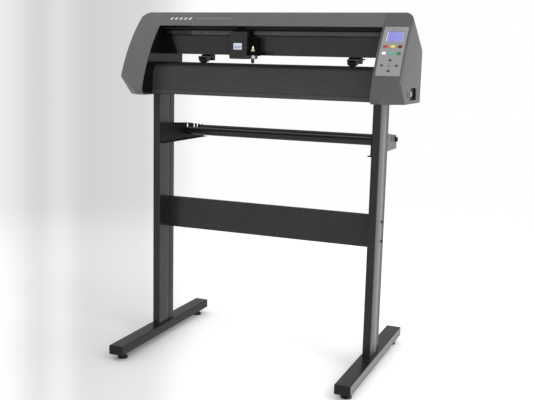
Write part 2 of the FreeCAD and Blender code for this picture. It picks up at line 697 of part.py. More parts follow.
# ======================================================== aprons, bed and beam
def roll_over(edge_y, reach, rise, indices):
    """Quarter ellipse from index 0 (vertical face) to 60 (platen edge)."""
    angles = [math.radians(90.0 * i / 60) for i in indices]
    return [(edge_y + reach * math.cos(a), ROLL_Z + rise * math.sin(a)) for a in angles]


def resample(path, step):
    """Even chords along the path, so that each groove sits inside a chord."""
    points = [path[0]]
    carry = 0.0
    for (y0, z0), (y1, z1) in zip(path[:-1], path[1:]):
        length = math.hypot(y1 - y0, z1 - z0)
        along = step - carry
        while along <= length:
            points.append((y0 + (y1 - y0) * along / length, z0 + (z1 - z0) * along / length))
            along += step
        carry = length - (along - step)
    if math.hypot(points[-1][0] - path[-1][0], points[-1][1] - path[-1][1]) > 0.5:
        points.append(path[-1])
    return points


def grooved(path, inward, step=5.0, width=1.5, depth=0.9):
    """Path with a groove in the middle of every chord; inward is the sign of its side."""
    points = resample(path, step)
    out = [points[0]]
    for (y0, z0), (y1, z1) in zip(points[:-1], points[1:]):
        length = math.hypot(y1 - y0, z1 - z0)
        if length > width * 1.5:
            dir_y, dir_z = (y1 - y0) / length, (z1 - z0) / length
            in_y, in_z = inward * dir_z, -inward * dir_y
            for offset, sink in ((-width / 2, 0), (-width / 5, depth),
                                 (width / 5, depth), (width / 2, 0)):
                along = length / 2 + offset
                out.append((y0 + dir_y * along + in_y * sink,
                            z0 + dir_z * along + in_z * sink))
        out.append((y1, z1))
    return out


def apron_skin(face_y, edge_y, foot_z, steps, facing):
    """Grooved outer face, platen joint and smooth inner curve; facing -1 front, 1 rear."""
    reach = facing * (face_y - edge_y)
    path = [(face_y, foot_z + (ROLL_Z - foot_z) * i / steps) for i in range(int(steps))]
    path += roll_over(edge_y, facing * reach, APRON_RISE, range(0, 61))
    joint_y = edge_y - facing * APRON_T
    inner = roll_over(edge_y, facing * (reach - APRON_T), APRON_RISE - APRON_T,
                      range(60, -1, -4))
    return (grooved(path, -facing)
            + [(joint_y, PLATEN_Z), (joint_y, PLATEN_Z - APRON_T)] + inner)


def front_apron():
    """Grooved extrusion rolling over from the front face to the platen."""
    outline = [(APRON_Y - 3.0, PAN_Z1), (APRON_Y - 3.0, 857.0)]
    outline += apron_skin(APRON_Y, PLATEN_Y0, foot_z=858.0, steps=12.0, facing=-1)
    outline += [(APRON_Y + APRON_T, 850.0), (-64.2, 850.0), (-64.2, PAN_Z1)]
    return prism_x(outline, -BED_X, BED_X)


def rear_apron():
    """Matching extrusion at the back, with a raised lip at the platen edge."""
    outline = [(REAR_APRON_Y + 2.4, PAN_Z1), (REAR_APRON_Y + 2.4, 881.0)]
    outline += apron_skin(REAR_APRON_Y, PLATEN_Y1, foot_z=882.0, steps=4.0, facing=1)
    outline += [(REAR_APRON_Y - APRON_T, 883.0), (REAR_APRON_Y - 0.4, 880.4),
                (REAR_APRON_Y - 0.4, PAN_Z1)]
    lip = box(-BED_X, BED_X, PLATEN_Y1 - APRON_T, PLATEN_Y1 - 0.8,
              PLATEN_Z - 1.0, PLATEN_Z + 2.0)
    apron = fuse(prism_x(outline, -BED_X, BED_X), lip)
    return try_fillet(apron, 0.7, lambda p: abs(p.z - PLATEN_Z - 2.0) < 1e-6)


def platen():
    """Flat cutting bed with windows over the grit bands and grooves along X."""
    y0, y1 = PLATEN_Y0 + PLATEN_JOINT, PLATEN_Y1 - PLATEN_JOINT
    bed = box(-BED_X, BED_X, y0, y1, PLATEN_Z - 4, PLATEN_Z)
    bed = fuse(bed, box(-BED_X, BED_X, y0, PLATEN_Y0 + 6, 930, PLATEN_Z - 3),
               box(-BED_X, BED_X, PLATEN_Y1 - 6, y1, 930, PLATEN_Z - 3))
    for x0, x1 in GRIT_BANDS:
        bed = cut(bed, box(x0 - 1.5, x1 + 1.5, SHAFT_Y - 10.6, SHAFT_Y + 10.6,
                           PLATEN_Z - 6, PLATEN_Z + 1))
    # centre y, half width, depth
    grooves = [(STRIP_Y, 3.6, STRIP_DEPTH)] + [(y, 0.5, 0.5) for y in (44.0, 60.0, 76.0, 90.0)]
    for y, half, depth in grooves:
        bed = cut(bed, box(-BED_X - 1, BED_X + 1, y - half, y + half,
                           PLATEN_Z - depth, PLATEN_Z + 1))
    return bed


def guide_beam():
    """Hollow extrusion with a groove under the rail and a slot below."""
    y0, y1, z0, z1 = BEAM_Y0, BEAM_Y1, BEAM_Z0, BEAM_Z1
    outline = [(y0, z0), (y0, 1034.0), (y0 + 1.6, 1034.6), (y0 + 1.6, 1036.6),
               (y0, 1037.2), (y0, z1), (y1, z1), (y1, z0)]
    beam = prism_x(outline, -BED_X, BED_X)
    # two cavities, then the narrow and wide parts of the slot: y0, y1, z0, z1
    for hollow in ((14.5, 38, 979, 1048), (41, 67, 992, 1048),
                   (54.9, 61.1, BEAM_Z0 - 1, 980), (51.9, 64.1, 979, 986)):
        beam = cut(beam, box(-BED_X - 1, BED_X + 1, *hollow))
    # bosses round the end screws
    beam = fuse(beam, box(-BED_X, BED_X, 25, 35, 978, 991),
                box(-BED_X, BED_X, 55, 65.5, 1034, 1049))
    for y, z in BEAM_SCREWS:
        beam = cut(beam, cyl_x(2.05, -BED_X - 1, BED_X + 1, y, z))
    return beam


def guide_rail():
    """Chamfered rail on the beam's front face with a row of blind holes."""
    outline = [(RAIL_Y0, RAIL_Z0 + 1), (RAIL_Y0 + 1, RAIL_Z0), (BEAM_Y0, RAIL_Z0),
               (BEAM_Y0, RAIL_Z1), (RAIL_Y0 + 1, RAIL_Z1), (RAIL_Y0, RAIL_Z1 - 1)]
    rail = prism_x(outline, -BED_X + 3, BED_X - 3)
    for i in range(13):
        rail = cut(rail, cyl_y(3.0, -360 + i * 60, RAIL_Y0 - 1, RAIL_Y0 + 2.2, 1044))
    return rail


def frame_screws():
    """M4 through the side plates, M5 from the pan into the legs."""
    plate_screw = button_screw(4.0, 9.0, head_d=7.6, head_h=2.2, socket=2.5)
    screws = []
    for side in SIDES:
        for y, z in BEAM_SCREWS + PAN_SCREWS:
            screws.append(placed(plate_screw, (side * (SEAM_X + 3.2), y, z), (side, 0, 0)))
        for y in (-PORT_Y, PORT_Y):
            origin = (side * (LEG_X - PORT_X), y, PAN_Z1)
            screws.append(placed(m5_screw(16.0), origin, (0, 0, 1)))
    return group(*screws)


save("front_apron", front_apron())
save("rear_apron", rear_apron())
save("platen", platen())
save("cutting_strip", box(-370, 370, STRIP_Y - 3.5, STRIP_Y + 3.5,
                          PLATEN_Z - STRIP_DEPTH, PLATEN_Z + 0.05))
save("guide_beam", guide_beam())
save("guide_rail", guide_rail())
save("frame_screws", frame_screws())


# ============================================================= control panel
def key_pad(x, half_w, half_h, z0, z1, radius):
    """Rounded block about (x, 0) in the local frame of the front face."""
    return rbox(x - half_w, x + half_w, -half_h, half_h, z0, z1, radius, "z")


def control_panel():
    """Curved bezel with openings for the display and the keys."""
    panel = front_band(CONSOLE_X0, CONSOLE_X1, CONSOLE_Z0, CONSOLE_Z1, 0.02, 1.6)
    corners = [e for e in panel.Edges if len(e.Vertexes) == 2
               and (e.Vertexes[1].Point - e.Vertexes[0].Point).Length < 2.0]
    panel = panel.makeFillet(3.0, corners)
    window = rbox(LCD_X0, LCD_X1, -LCD_HALF_H, LCD_HALF_H, -1, 4, 1.0, "z")
    panel = cut(panel, on_front(window, LCD_Z))
    gap = 0.12
    for x, z, size in KEYS.values():
        half_w, half_h, _ = KEY_SIZES[size]
        opening = key_pad(x, half_w + gap, half_h + gap, -1, 4, half_h - 0.1)
        panel = cut(panel, on_front(opening, z))
    return panel


def key(x, z, size):
    """Key cap with a retaining flange and a square stem behind it."""
    half_w, half_h, top = KEY_SIZES[size]
    cap = key_pad(x, half_w, half_h, -0.3, top, half_h - 0.1)
    cap = try_fillet(cap, 0.9, lambda p: abs(p.z - top) < 1e-6)
    flange = key_pad(x, half_w + 0.9, half_h + 0.9, -2.0, -0.3, half_h)
    stem = box(x - 1.8, x + 1.8, -1.8, 1.8, -5.4, -1.9)
    return on_front(fuse(cap, flange, stem), z)


def display_module():
    """Board behind the panel, formed to the same curve, with display and key switches."""
    board = front_band(CONSOLE_X0 + 5, CONSOLE_X1 - 5, CONSOLE_Z0 + 5, CONSOLE_Z1 - 4.5,
                       -9.6, -8.0)
    lcd = on_front(box(LCD_X0 - 1.5, LCD_X1 + 1.5, -LCD_HALF_H - 1.3, LCD_HALF_H + 1.3,
                       -8.8, -0.5), LCD_Z)
    switches = [on_front(box(x - 3, x + 3, -3, 3, -8.2, -6.6), z)
                for x, z, _ in KEYS.values()]
    return fuse(board, lcd, *switches)


def socket_tray():
    """Recessed tray in the side face with mains, USB and round sockets."""
    tray = cut(socket_arch(HEAD_X - 9, HEAD_X - 2.55, 2.0),
               socket_arch(HEAD_X - 7.5, HEAD_X + 2, 0.02))
    mains = cut(rbox(HEAD_X - 24, HEAD_X - 6.0, 36, 66, 856, 880, 2.5, "x"),
                rbox(HEAD_X - 20, HEAD_X - 5, 39, 63, 859, 877, 3.5, "x"))
    usb = cut(box(HEAD_X - 20, HEAD_X - 4.5, 17.5, 30.5, 863, 877),
              box(HEAD_X - 16, HEAD_X - 4, 19, 29, 864.5, 875.5))
    jack = cut(box(HEAD_X - 20, HEAD_X - 4.5, -8, 8, 858, 872),
               cyl_x(4.0, HEAD_X - 16, HEAD_X - 4, 0, 865))
    tray = cut(tray, box(HEAD_X - 10, HEAD_X - 5, 40, 62, 860, 876))
    tray = fuse(tray, mains, usb, jack)
    # mains pins: centre y, z0, z1
    pins = [box(HEAD_X - 20.5, HEAD_X - 9, y - 1, y + 1, z0, z1)
            for y, z0, z1 in ((45, 866, 870), (57, 866, 870), (51, 869, 873))]
    return fuse(tray, *pins)


def switch_bezel():
    bezel = cut(switch_oval(HEAD_X - 14, HEAD_X - 0.4, -0.1),
                rbox(HEAD_X - 12, HEAD_X + 1, -47.5, -28.5, 858.5, 881.5, 3.0, "x"))
    return cut(bezel, cyl_y(1.55, ROCKER_AXIS_X, -48.8, -27.2, SWITCH_Z))


def power_rocker():
    """Rocker with its upper half sloping in, on a pin along Y."""
    rocker = rbox(HEAD_X - 8.5, HEAD_X - 0.6, -47.2, -28.8, 859.6, 880.4, 2.5, "x")
    slope = [(HEAD_X + 1, 871.0), (HEAD_X - 0.5, 871.0), (HEAD_X - 2.6, 881), (HEAD_X + 1, 881)]
    rocker = cut(rocker, prism_y(slope, -60, -20))
    return fuse(rocker, cyl_y(1.5, ROCKER_AXIS_X, -48.4, -27.6, SWITCH_Z))


save("control_panel", control_panel())
for name, (key_x, key_z, key_size) in KEYS.items():
    save(name, key(key_x, key_z, key_size))
save("display_module", display_module())
save("power_rocker", power_rocker())
save("power_sockets", group(socket_tray(), switch_bezel()))


# =============================================================== electronics
def main_board():
    """Circuit board with block components, on four posts."""
    pieces = [box(-110, 60, -30, 80, 848, 849.6)]
    # components: x, y, width, depth, height
    for x, y, width, depth, height in (
            (-60, 20, 30, 30, 4), (-95, 50, 20, 24, 12), (20, 40, 16, 34, 14),
            (30, -10, 24, 12, 10), (-30, -15, 18, 18, 8), (-95, -18, 12, 20, 11)):
        pieces.append(box(x, x + width, y, y + depth, 849.5, 849.6 + height))
    pieces += [cyl_z(3.0, x, y, PAN_Z1, 848.2) for x in (-104, 54) for y in (-24, 74)]
    return fuse(*pieces)


def power_supply():
    """Block on the pan with a row of slots in its top."""
    block = box(140, 300, -35, 60, PAN_Z1, 886)
    for i in range(12):
        x = 150 + i * 12
        block = cut(block, box(x, x + 6, -25, 50, 884.4, 887))
    return block


save("main_board", main_board())
save("power_supply", power_supply())


# =============================================================== drive train
def stepper(origin, axis, tip):
    """42 mm stepper with its front face at origin, shaft reaching tip along axis."""
    length = 38.0
    body = rbox(-21, 21, -21, 21, -length, 0, 4.0, "z")
    waist = cut(box(-22, 22, -22, 22, -length + 9, -9),
                rbox(-20.2, 20.2, -20.2, 20.2, -length + 8, -8, 4.0, "z"))
    body = fuse(cut(body, waist), cyl_z(11, 0, 0, -0.5, 2), cyl_z(2.5, 0, 0, 0, tip))
    return placed(body, origin, axis)


def drive_shaft():
    """Stepped shaft carrying the grooved grit bands."""
    pieces = [cyl_x(5.0, -376, 376, SHAFT_Y, SHAFT_Z),
              cyl_x(4.0, -390, -375, SHAFT_Y, SHAFT_Z),
              cyl_x(4.0, 375, 398, SHAFT_Y, SHAFT_Z)]
    for x0, x1 in GRIT_BANDS:
        band = cyl_x(GRIT_R, x0, x1, SHAFT_Y, SHAFT_Z)
        band = try_fillet(band, 1.0, lambda p: True)
        for i in range(GRIT_GROOVES):
            x = x0 + (x1 - x0) * (i + 0.5) / GRIT_GROOVES
            band = cut(band, groove_x(GRIT_R + 1, GRIT_R - 0.35, x - 0.4, x + 0.4,
                                      SHAFT_Y, SHAFT_Z))
        pieces.append(band)
    return fuse(*pieces)


def shaft_bearing(side):
    """Flanged bush in the side plate."""
    bush = fuse(
        cyl_x(9.5, side * (SEAM_X + 0.4), side * (SEAM_X + 6.4), SHAFT_Y, SHAFT_Z),
        cyl_x(11.5, side * (SEAM_X + 3.25), side * (SEAM_X + 4.75), SHAFT_Y, SHAFT_Z))
    return cut(bush, cyl_x(4.05, side * 370, side * 390, SHAFT_Y, SHAFT_Z))


def pulley_radius(teeth):
    return teeth * BELT_PITCH / (2 * math.pi) - PITCH_LINE


def pulley(teeth, bore, flange, origin, axis):
    """Toothed pulley along axis from origin, flanges outside the toothed width."""
    radius = pulley_radius(teeth)
    width = BELT_W + 2 * BELT_SIDE_GAP
    wheel = cyl_z(radius, 0, 0, 0, width)
    for x, y in ring_points(teeth, radius):
        wheel = wheel.cut(cyl_z(0.55, x, y, -1, width + 1))
    wheel = fuse(wheel, cyl_z(radius + 1.8, 0, 0, -flange, 0),
                 cyl_z(radius + 1.8, 0, 0, width, width + flange))
    return placed(wheel.cut(cyl_z(bore, 0, 0, -5, width + 5)), origin, axis)


def belt_loop(centre0, radius0, centre1, radius1):
    """Belt about two circles in the local XY plane, its width along +Z."""
    dx, dy = centre1[0] - centre0[0], centre1[1] - centre0[1]
    base = math.atan2(dy, dx)

    def hull(grow):
        big0, big1 = radius0 + grow, radius1 + grow
        spread = math.acos((big0 - big1) / math.hypot(dx, dy))
        left, right = base + spread, base - spread

        def at(centre, radius, angle):
            return Vector(centre[0] + radius * math.cos(angle),
                          centre[1] + radius * math.sin(angle), 0)
        left0, right0 = at(centre0, big0, left), at(centre0, big0, right)
        left1, right1 = at(centre1, big1, left), at(centre1, big1, right)
        edges = [Part.Arc(left0, at(centre0, big0, base + math.pi), right0).toShape(),
                 Part.makeLine(right0, right1),
                 Part.Arc(right1, at(centre1, big1, base), left1).toShape(),
                 Part.makeLine(left1, left0)]
        return Part.Face(Part.Wire(edges))
    ring = hull(BELT_GAP + BELT_T).cut(hull(BELT_GAP))
    return ring.extrude(Vector(0, 0, BELT_W))


def timing_belts():
    small, large = pulley_radius(MOTOR_TEETH), pulley_radius(SHAFT_TEETH)
    carriage_belt = belt_loop((-BELT_X, BELT_Y), small, (BELT_X, BELT_Y), small)
    carriage_belt.translate(Vector(0, 0, BELT_Z0))
    feed_belt = belt_loop((0, 0), large, (0, -(SHAFT_Z - FEED_MOTOR_Z)), small)
    # local x -> +Y, local y -> +Z, local z -> +X
    feed_belt.Placement = FreeCAD.Placement(FreeCAD.Matrix(
        0, 0, 1, FEED_PULLEY_X + BELT_SIDE_GAP,
        1, 0, 0, SHAFT_Y,
        0, 1, 0, SHAFT_Z,
        0, 0, 0, 1))
    return group(carriage_belt, feed_belt)


save("feed_motor", stepper((397.0, SHAFT_Y, FEED_MOTOR_Z), (-1, 0, 0), tip=14.0))
save("carriage_motor", stepper((-BELT_X, BELT_Y, TAB_Z0 - 0.02), (0, 0, 1), tip=13.0))
save("drive_shaft", drive_shaft())
save("shaft_bearings", group(*[shaft_bearing(side) for side in SIDES]))
carriage_pulley_z = BELT_Z0 - BELT_SIDE_GAP
# name: teeth, bore radius, flange thickness, origin, axis
PULLEYS = {
    "shaft_pulley": (SHAFT_TEETH, 4.01, 1.2, (FEED_PULLEY_X, SHAFT_Y, SHAFT_Z), (1, 0, 0)),
    "feed_motor_pulley": (MOTOR_TEETH, MOTOR_SHAFT_BORE, 1.2,
                          (FEED_PULLEY_X, SHAFT_Y, FEED_MOTOR_Z), (1, 0, 0)),
    "carriage_motor_pulley": (MOTOR_TEETH, MOTOR_SHAFT_BORE, 1.0,
                              (-BELT_X, BELT_Y, carriage_pulley_z), (0, 0, 1)),
    "idler_pulley": (MOTOR_TEETH, MOTOR_SHAFT_BORE, 1.0,
                     (BELT_X, BELT_Y, carriage_pulley_z), (0, 0, 1)),
}
for name, spec in PULLEYS.items():
    save(name, pulley(*spec))
save("timing_belts", timing_belts())


# ================================================================== carriage
def carriage_plate():
    """Plate hooked round the rail, with tool channel, guide pins and belt clamp."""
    outline = [(-6, 981), (-0.2, 981), (-0.2, 1031), (1.6, 1034.4), (9.6, 1034.4),
               (9.6, 1037.3), (1.85, 1037.3), (1.85, 1050.7), (9.6, 1050.7),
               (9.6, 1053.4), (-6, 1053.4)]
    plate = prism_x(outline, CARRIAGE_X0 + 1, CARRIAGE_X1)
    belt_clamp = fuse(box(-104, -84, -6, -2.6, 1053.3, 1062),
                      box(-104, -84, -6, 0.9, 1062.0, 1063.6))
    head_block = box(-57, -26, -15, -5.5, 972.6, 1044)
    pins = [cyl_z(2.5, x, GUIDE_Y, 973, 1030) for x in GUIDE_X]
    top_lug = box(-57, -27, -24, -14.5, 1026, 1030.5)
    low_lug = box(-57, -27, -22.0, -14.5, 972.6, 974.3)
    channel = cut(fuse(head_block, top_lug, low_lug, *pins),
                  cyl_z(9.2, TOOL_X, STRIP_Y, 970, 1000))
    return cut(fuse(plate, channel, belt_clamp), box(-52.5, -15, -30, 12, 1031.2, 1060))


def carriage_cover():
    """Hollow cover, open to the rear."""
    cover = rbox(CARRIAGE_X0, -60.0, -36.0, -6.3, 962.2, 1047.0, 3.0, "y")
    cover = try_fillet(cover, 2.0, lambda p: abs(p.y + 36.0) < 1e-6)
    return cut(cover, rbox(-118.2, -61.8, -34.2, -5, 964.0, 1045.2, 1.5, "y"))


def tool_solenoid():
    return fuse(cyl_z(12.0, -90, -20.5, 990, 1030), cyl_z(3.0, -90, -20.5, 978, 1034),
                box(-103, -77, -20.5, -6.05, 1000, 1020))


def tool_slide():
    """Clamp block running on the two guide pins."""
    slide = rbox(-57.0, -27.0, -34.0, -15.6, 981.2, 986.6, 2.0, "z")
    slide = fuse(slide, rbox(-50.0, -27.0, -34.0, -15.6, 976.0, 986.6, 2.0, "z"))
    return cut(slide, *[cyl_z(2.55, x, GUIDE_Y, 970, 1030) for x in GUIDE_X],
               cyl_z(5.5, TOOL_X, STRIP_Y, 970, 1010),
               cyl_x(2.05, -40, -10, CLAMP_Y, CLAMP_Z))


def blade_holder():
    """Turned holder with a collar block and a knurled, slotted lock screw at the front."""
    holder = revolved([          # radius, z: from the top pin down to the blade tip
        (0, 1002.5), (2.0, 1002.5), (2.6, 1001.7), (2.6, 993.6), (3.6, 993.4),
        (6.2, 989.6), (6.8, 988.6), (6.8, 986.8), (5.45, 986.8), (5.45, 974.9),
        (6.4, 974.5), (6.4, 963.5), (5.4, 962.8), (5.2, 953.0), (3.6, 950.2),
        (1.0, 950.2), (1.0, 949.2), (0.3, 948.0), (0, 948.0)])
    holder.translate(Vector(TOOL_X, STRIP_Y, 0))
    collar = rbox(TOOL_X - 11.5, TOOL_X + 15.5, STRIP_Y - 5.8, STRIP_Y + 3.5,
                  963.5, 974.5, 1.5, "z")
    lock_x, lock_z = TOOL_X + 6.2, 969.0
    lock = cyl_y(5.4, lock_x, STRIP_Y - 11.5, STRIP_Y - 5.5, lock_z)
    for x, z in ring_points(16, 5.5, lock_x, lock_z):
        lock = cut(lock, cyl_y(0.45, x, STRIP_Y - 12, STRIP_Y - 7.0, z))
    lock = cut(lock, box(lock_x - 0.6, lock_x + 0.6, STRIP_Y - 12, STRIP_Y - 10.3, 962, 976))
    return fuse(holder, collar, lock)


def clamp_screw():
    """Screw along X with a fluted knob on its right."""
    screw = fuse(cyl_x(2.0, -36.2, -24.0, CLAMP_Y, CLAMP_Z),
                 cyl_x(4.6, -26.6, 1.5, CLAMP_Y, CLAMP_Z))
    for y, z in ring_points(10, 4.9, CLAMP_Y, CLAMP_Z):
        screw = cut(screw, cyl_x(0.9, -22.5, 5, y, z))
    return screw


save("carriage_plate", carriage_plate())
save("carriage_cover", carriage_cover())
save("tool_solenoid", tool_solenoid())
save("tool_slide", tool_slide())
save("blade_holder", blade_holder())
save("clamp_screw", clamp_screw())


# ============================================================= pinch rollers
def pinch_carrier(x):
    """Carrier hanging in the slot under the beam, with the arm's pivot pin."""
    # x0 and x1 from the centre, y0, y1, z0, z1
    blocks = ((-20, 20, 55.2, 66.0, 955.5, 974.6), (-20, 20, 55.2, 60.8, 974, 981),
              (-20, 20, 52.4, 63.6, 979.4, 984.6), (-20, -15.5, 44, 56, 956.5, 974.6),
              (15.5, 20, 44, 56, 956.5, 974.6))
    carrier = fuse(*[box(x + x0, x + x1, *rest) for x0, x1, *rest in blocks])
    return fuse(carrier, cyl_x(2.0, x - 16, x + 16, PIVOT_Y, PIVOT_Z))


def pinch_arm(x):
    """Two cheeks, a bridge, a lift lever and the wheel axle."""
    cheek = [(54.5, 962), (52.5, 966.0), (46, 967.5), (30, 969.5), (14, 969.5), (11, 965),
             (13.5, 957), (20, 950.2), (27, 951.5), (40, 956.5), (50, 957.5)]
    bridge = [(12.5, 966.8), (12.5, 969.5), (30, 969.5), (46, 967.5), (46, 965.2),
              (30, 966.8)]
    front_bar = [(11, 965), (11.4, 964.2), (11.2, 966), (12.4, 969.5), (14, 969.5),
                 (14, 966.8)]
    lever = [(14.5, 960.0), (14.5, 966.0), (30, 971.2), (42, 971.2), (42, 968.2),
             (35, 966.4), (27, 960.0)]
    arm = fuse(prism_x(cheek, x - 15.0, x - 9.2), prism_x(cheek, x + 9.2, x + 15.0),
               prism_x(bridge, x - 10, x + 10), prism_x(front_bar, x - 15, x + 15))
    arm = fuse(arm, prism_y([(x + dx, z) for dx, z in lever], 12.4, 17.5))
    arm = cut(arm, cyl_x(2.05, x - 30, x + 30, PIVOT_Y, PIVOT_Z))
    return fuse(arm, cyl_x(1.5, x - 10, x + 10, SHAFT_Y, WHEEL_Z))


def pinch_wheel(x):
    """Wheel over the drive shaft with three grooves round it."""
    wheel = cyl_x(WHEEL_R, x - 9.0, x + 9.0, SHAFT_Y, WHEEL_Z)
    wheel = try_fillet(wheel, 1.0, lambda p: True)
    wheel = cut(wheel, cyl_x(1.55, x - 12, x + 12, SHAFT_Y, WHEEL_Z))
    for dx in (-4.5, 0, 4.5):
        wheel = cut(wheel, groove_x(WHEEL_R + 1, WHEEL_R - 0.5, x + dx - 0.5, x + dx + 0.5,
                                    SHAFT_Y, WHEEL_Z))
    return wheel


for side_name, pinch_x in PINCH_X.items():
    save(side_name + "_pinch_carrier", pinch_carrier(pinch_x))
    save(side_name + "_pinch_arm", pinch_arm(pinch_x))
    save(side_name + "_pinch_wheel", pinch_wheel(pinch_x))
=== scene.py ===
"""A wide roll cutter on a two-legged stand, with a control panel at its right end.

The frame is in metres: x runs along the machine to the right, y to the rear (the front
faces -y) and z up from the floor. The small added parts are laid out in millimetres.
"""
import bpy, bmesh, math
from mathutils import Vector, Matrix


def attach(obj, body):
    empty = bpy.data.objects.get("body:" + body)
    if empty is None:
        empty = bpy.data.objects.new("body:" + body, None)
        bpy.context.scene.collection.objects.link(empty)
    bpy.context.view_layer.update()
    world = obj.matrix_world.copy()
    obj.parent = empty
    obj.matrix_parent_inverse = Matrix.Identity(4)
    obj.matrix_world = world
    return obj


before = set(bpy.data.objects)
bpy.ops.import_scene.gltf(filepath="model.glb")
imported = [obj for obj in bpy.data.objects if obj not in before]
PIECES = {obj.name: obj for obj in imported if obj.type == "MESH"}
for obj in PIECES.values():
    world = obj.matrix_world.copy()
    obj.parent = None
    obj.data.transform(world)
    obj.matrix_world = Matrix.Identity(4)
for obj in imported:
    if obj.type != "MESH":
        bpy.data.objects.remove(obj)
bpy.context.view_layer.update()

MM = 1000  # millimetres in a metre


# ------------------------------------------------------------------ colours
def grey(value):
    return (value, value, value, 1)


def hex_colour(text):
    """Linear colour of a "#rrggbb" display colour."""
    levels = [int(text[i:i + 2], 16) / 255 for i in (1, 3, 5)]
    return tuple(c / 12.92 if c <= 0.04045 else ((c + 0.055) / 1.055) ** 2.4 for c in levels)


def shade(colour, gain, lift=0.0):
    return tuple(min(1, c * gain + lift) for c in colour[:3]) + (1,)


# ------------------------------------------------------------------ shader graphs
class Graph:
    """Small shader-graph writer. Inputs may be sockets or plain values."""
    def __init__(self, tree):
        self.tree = tree
        self.coords = None

    def node(self, kind, **settings):
        made = self.tree.nodes.new(kind)
        for key, value in settings.items():
            setattr(made, key, value)
        return made

    def link(self, source, target):
        self.tree.links.new(source, target)

    def feed(self, socket, value):
        if isinstance(value, bpy.types.NodeSocket):
            self.link(value, socket)
        else:
            socket.default_value = value

    def object_coords(self):
        if self.coords is None:
            self.coords = self.node("ShaderNodeTexCoord").outputs["Object"]
        return self.coords

    def xyz(self):
        split = self.node("ShaderNodeSeparateXYZ")
        self.link(self.object_coords(), split.inputs[0])
        return split.outputs[0], split.outputs[1], split.outputs[2]

    def window_x(self):
        """Place across the picture, 0 at its left edge and 1 at its right."""
        coords = self.node("ShaderNodeTexCoord")
        split = self.node("ShaderNodeSeparateXYZ")
        self.link(coords.outputs["Window"], split.inputs[0])
        return split.outputs[0]

    def calc(self, operation, a, b=0.0):
        made = self.node("ShaderNodeMath", operation=operation)
        self.feed(made.inputs[0], a)
        self.feed(made.inputs[1], b)
        return made.outputs[0]

    def add(self, a, b):
        return self.calc("ADD", a, b)

    def sub(self, a, b):
        return self.calc("SUBTRACT", a, b)

    def mul(self, a, b):
        return self.calc("MULTIPLY", a, b)

    def above(self, value, limit):
        return self.calc("GREATER_THAN", value, limit)

    def below(self, value, limit):
        return self.calc("LESS_THAN", value, limit)

    def band(self, value, low, high):
        """1 where low < value < high."""
        return self.mul(self.above(value, low), self.below(value, high))

    def wave(self, value, pitch):
        return self.calc("SINE", self.mul(value, 2 * math.pi / pitch))

    def ramp(self, value, start, end, low=0.0, high=1.0):
        """Smooth step from low at start to high at end."""
        made = self.node("ShaderNodeMapRange", interpolation_type="SMOOTHSTEP")
        self.feed(made.inputs[0], value)
        for i, number in enumerate((start, end, low, high), 1):
            made.inputs[i].default_value = number
        return made.outputs[0]

    def mix(self, factor, a, b, **settings):
        made = self.node("ShaderNodeMix", data_type="RGBA", **settings)
        self.feed(made.inputs[0], factor)
        self.feed(made.inputs[6], a)
        self.feed(made.inputs[7], b)
        return made.outputs[2]

    def noise(self, scale, detail=3.0, rough=0.5, stretch=(1, 1, 1), offset=(0, 0, 0)):
        mapping = self.node("ShaderNodeMapping")
        self.link(self.object_coords(), mapping.inputs[0])
        mapping.inputs["Scale"].default_value = stretch
        mapping.inputs["Location"].default_value = offset
        made = self.node("ShaderNodeTexNoise")
        self.link(mapping.outputs[0], made.inputs["Vector"])
        made.inputs["Scale"].default_value = scale
        made.inputs["Detail"].default_value = detail
        made.inputs["Roughness"].default_value = rough
        return made.outputs[0]

    def edge(self, radius):
        """1 on convex and concave edges, 0 on flats."""
        bevel = self.node("ShaderNodeBevel", samples=3)
        bevel.inputs[0].default_value = radius
        geometry = self.node("ShaderNodeNewGeometry")
        dot = self.node("ShaderNodeVectorMath", operation="DOT_PRODUCT")
        self.link(bevel.outputs[0], dot.inputs[0])
        self.link(geometry.outputs["Normal"], dot.inputs[1])
        return self.ramp(self.sub(1.0, dot.outputs["Value"]), 0.02, 0.25)

    def bump(self, height, distance, strength, normal=None):
        made = self.node("ShaderNodeBump")
        made.inputs["Strength"].default_value = strength
        made.inputs["Distance"].default_value = distance
        self.link(height, made.inputs["Height"])
        if normal is not None:
            self.link(normal, made.inputs["Normal"])
        return made.outputs[0]


def blank_graph(owner):
    """Empty graph of a material or world."""
    owner.use_nodes = True
    owner.node_tree.nodes.clear()
    return Graph(owner.node_tree)


def new_surface(name):
    material = bpy.data.materials.new(name)
    g = blank_graph(material)
    output = g.node("ShaderNodeOutputMaterial")
    surface = g.node("ShaderNodeBsdfPrincipled")
    g.link(surface.outputs[0], output.inputs[0])
    return material, g, surface.inputs


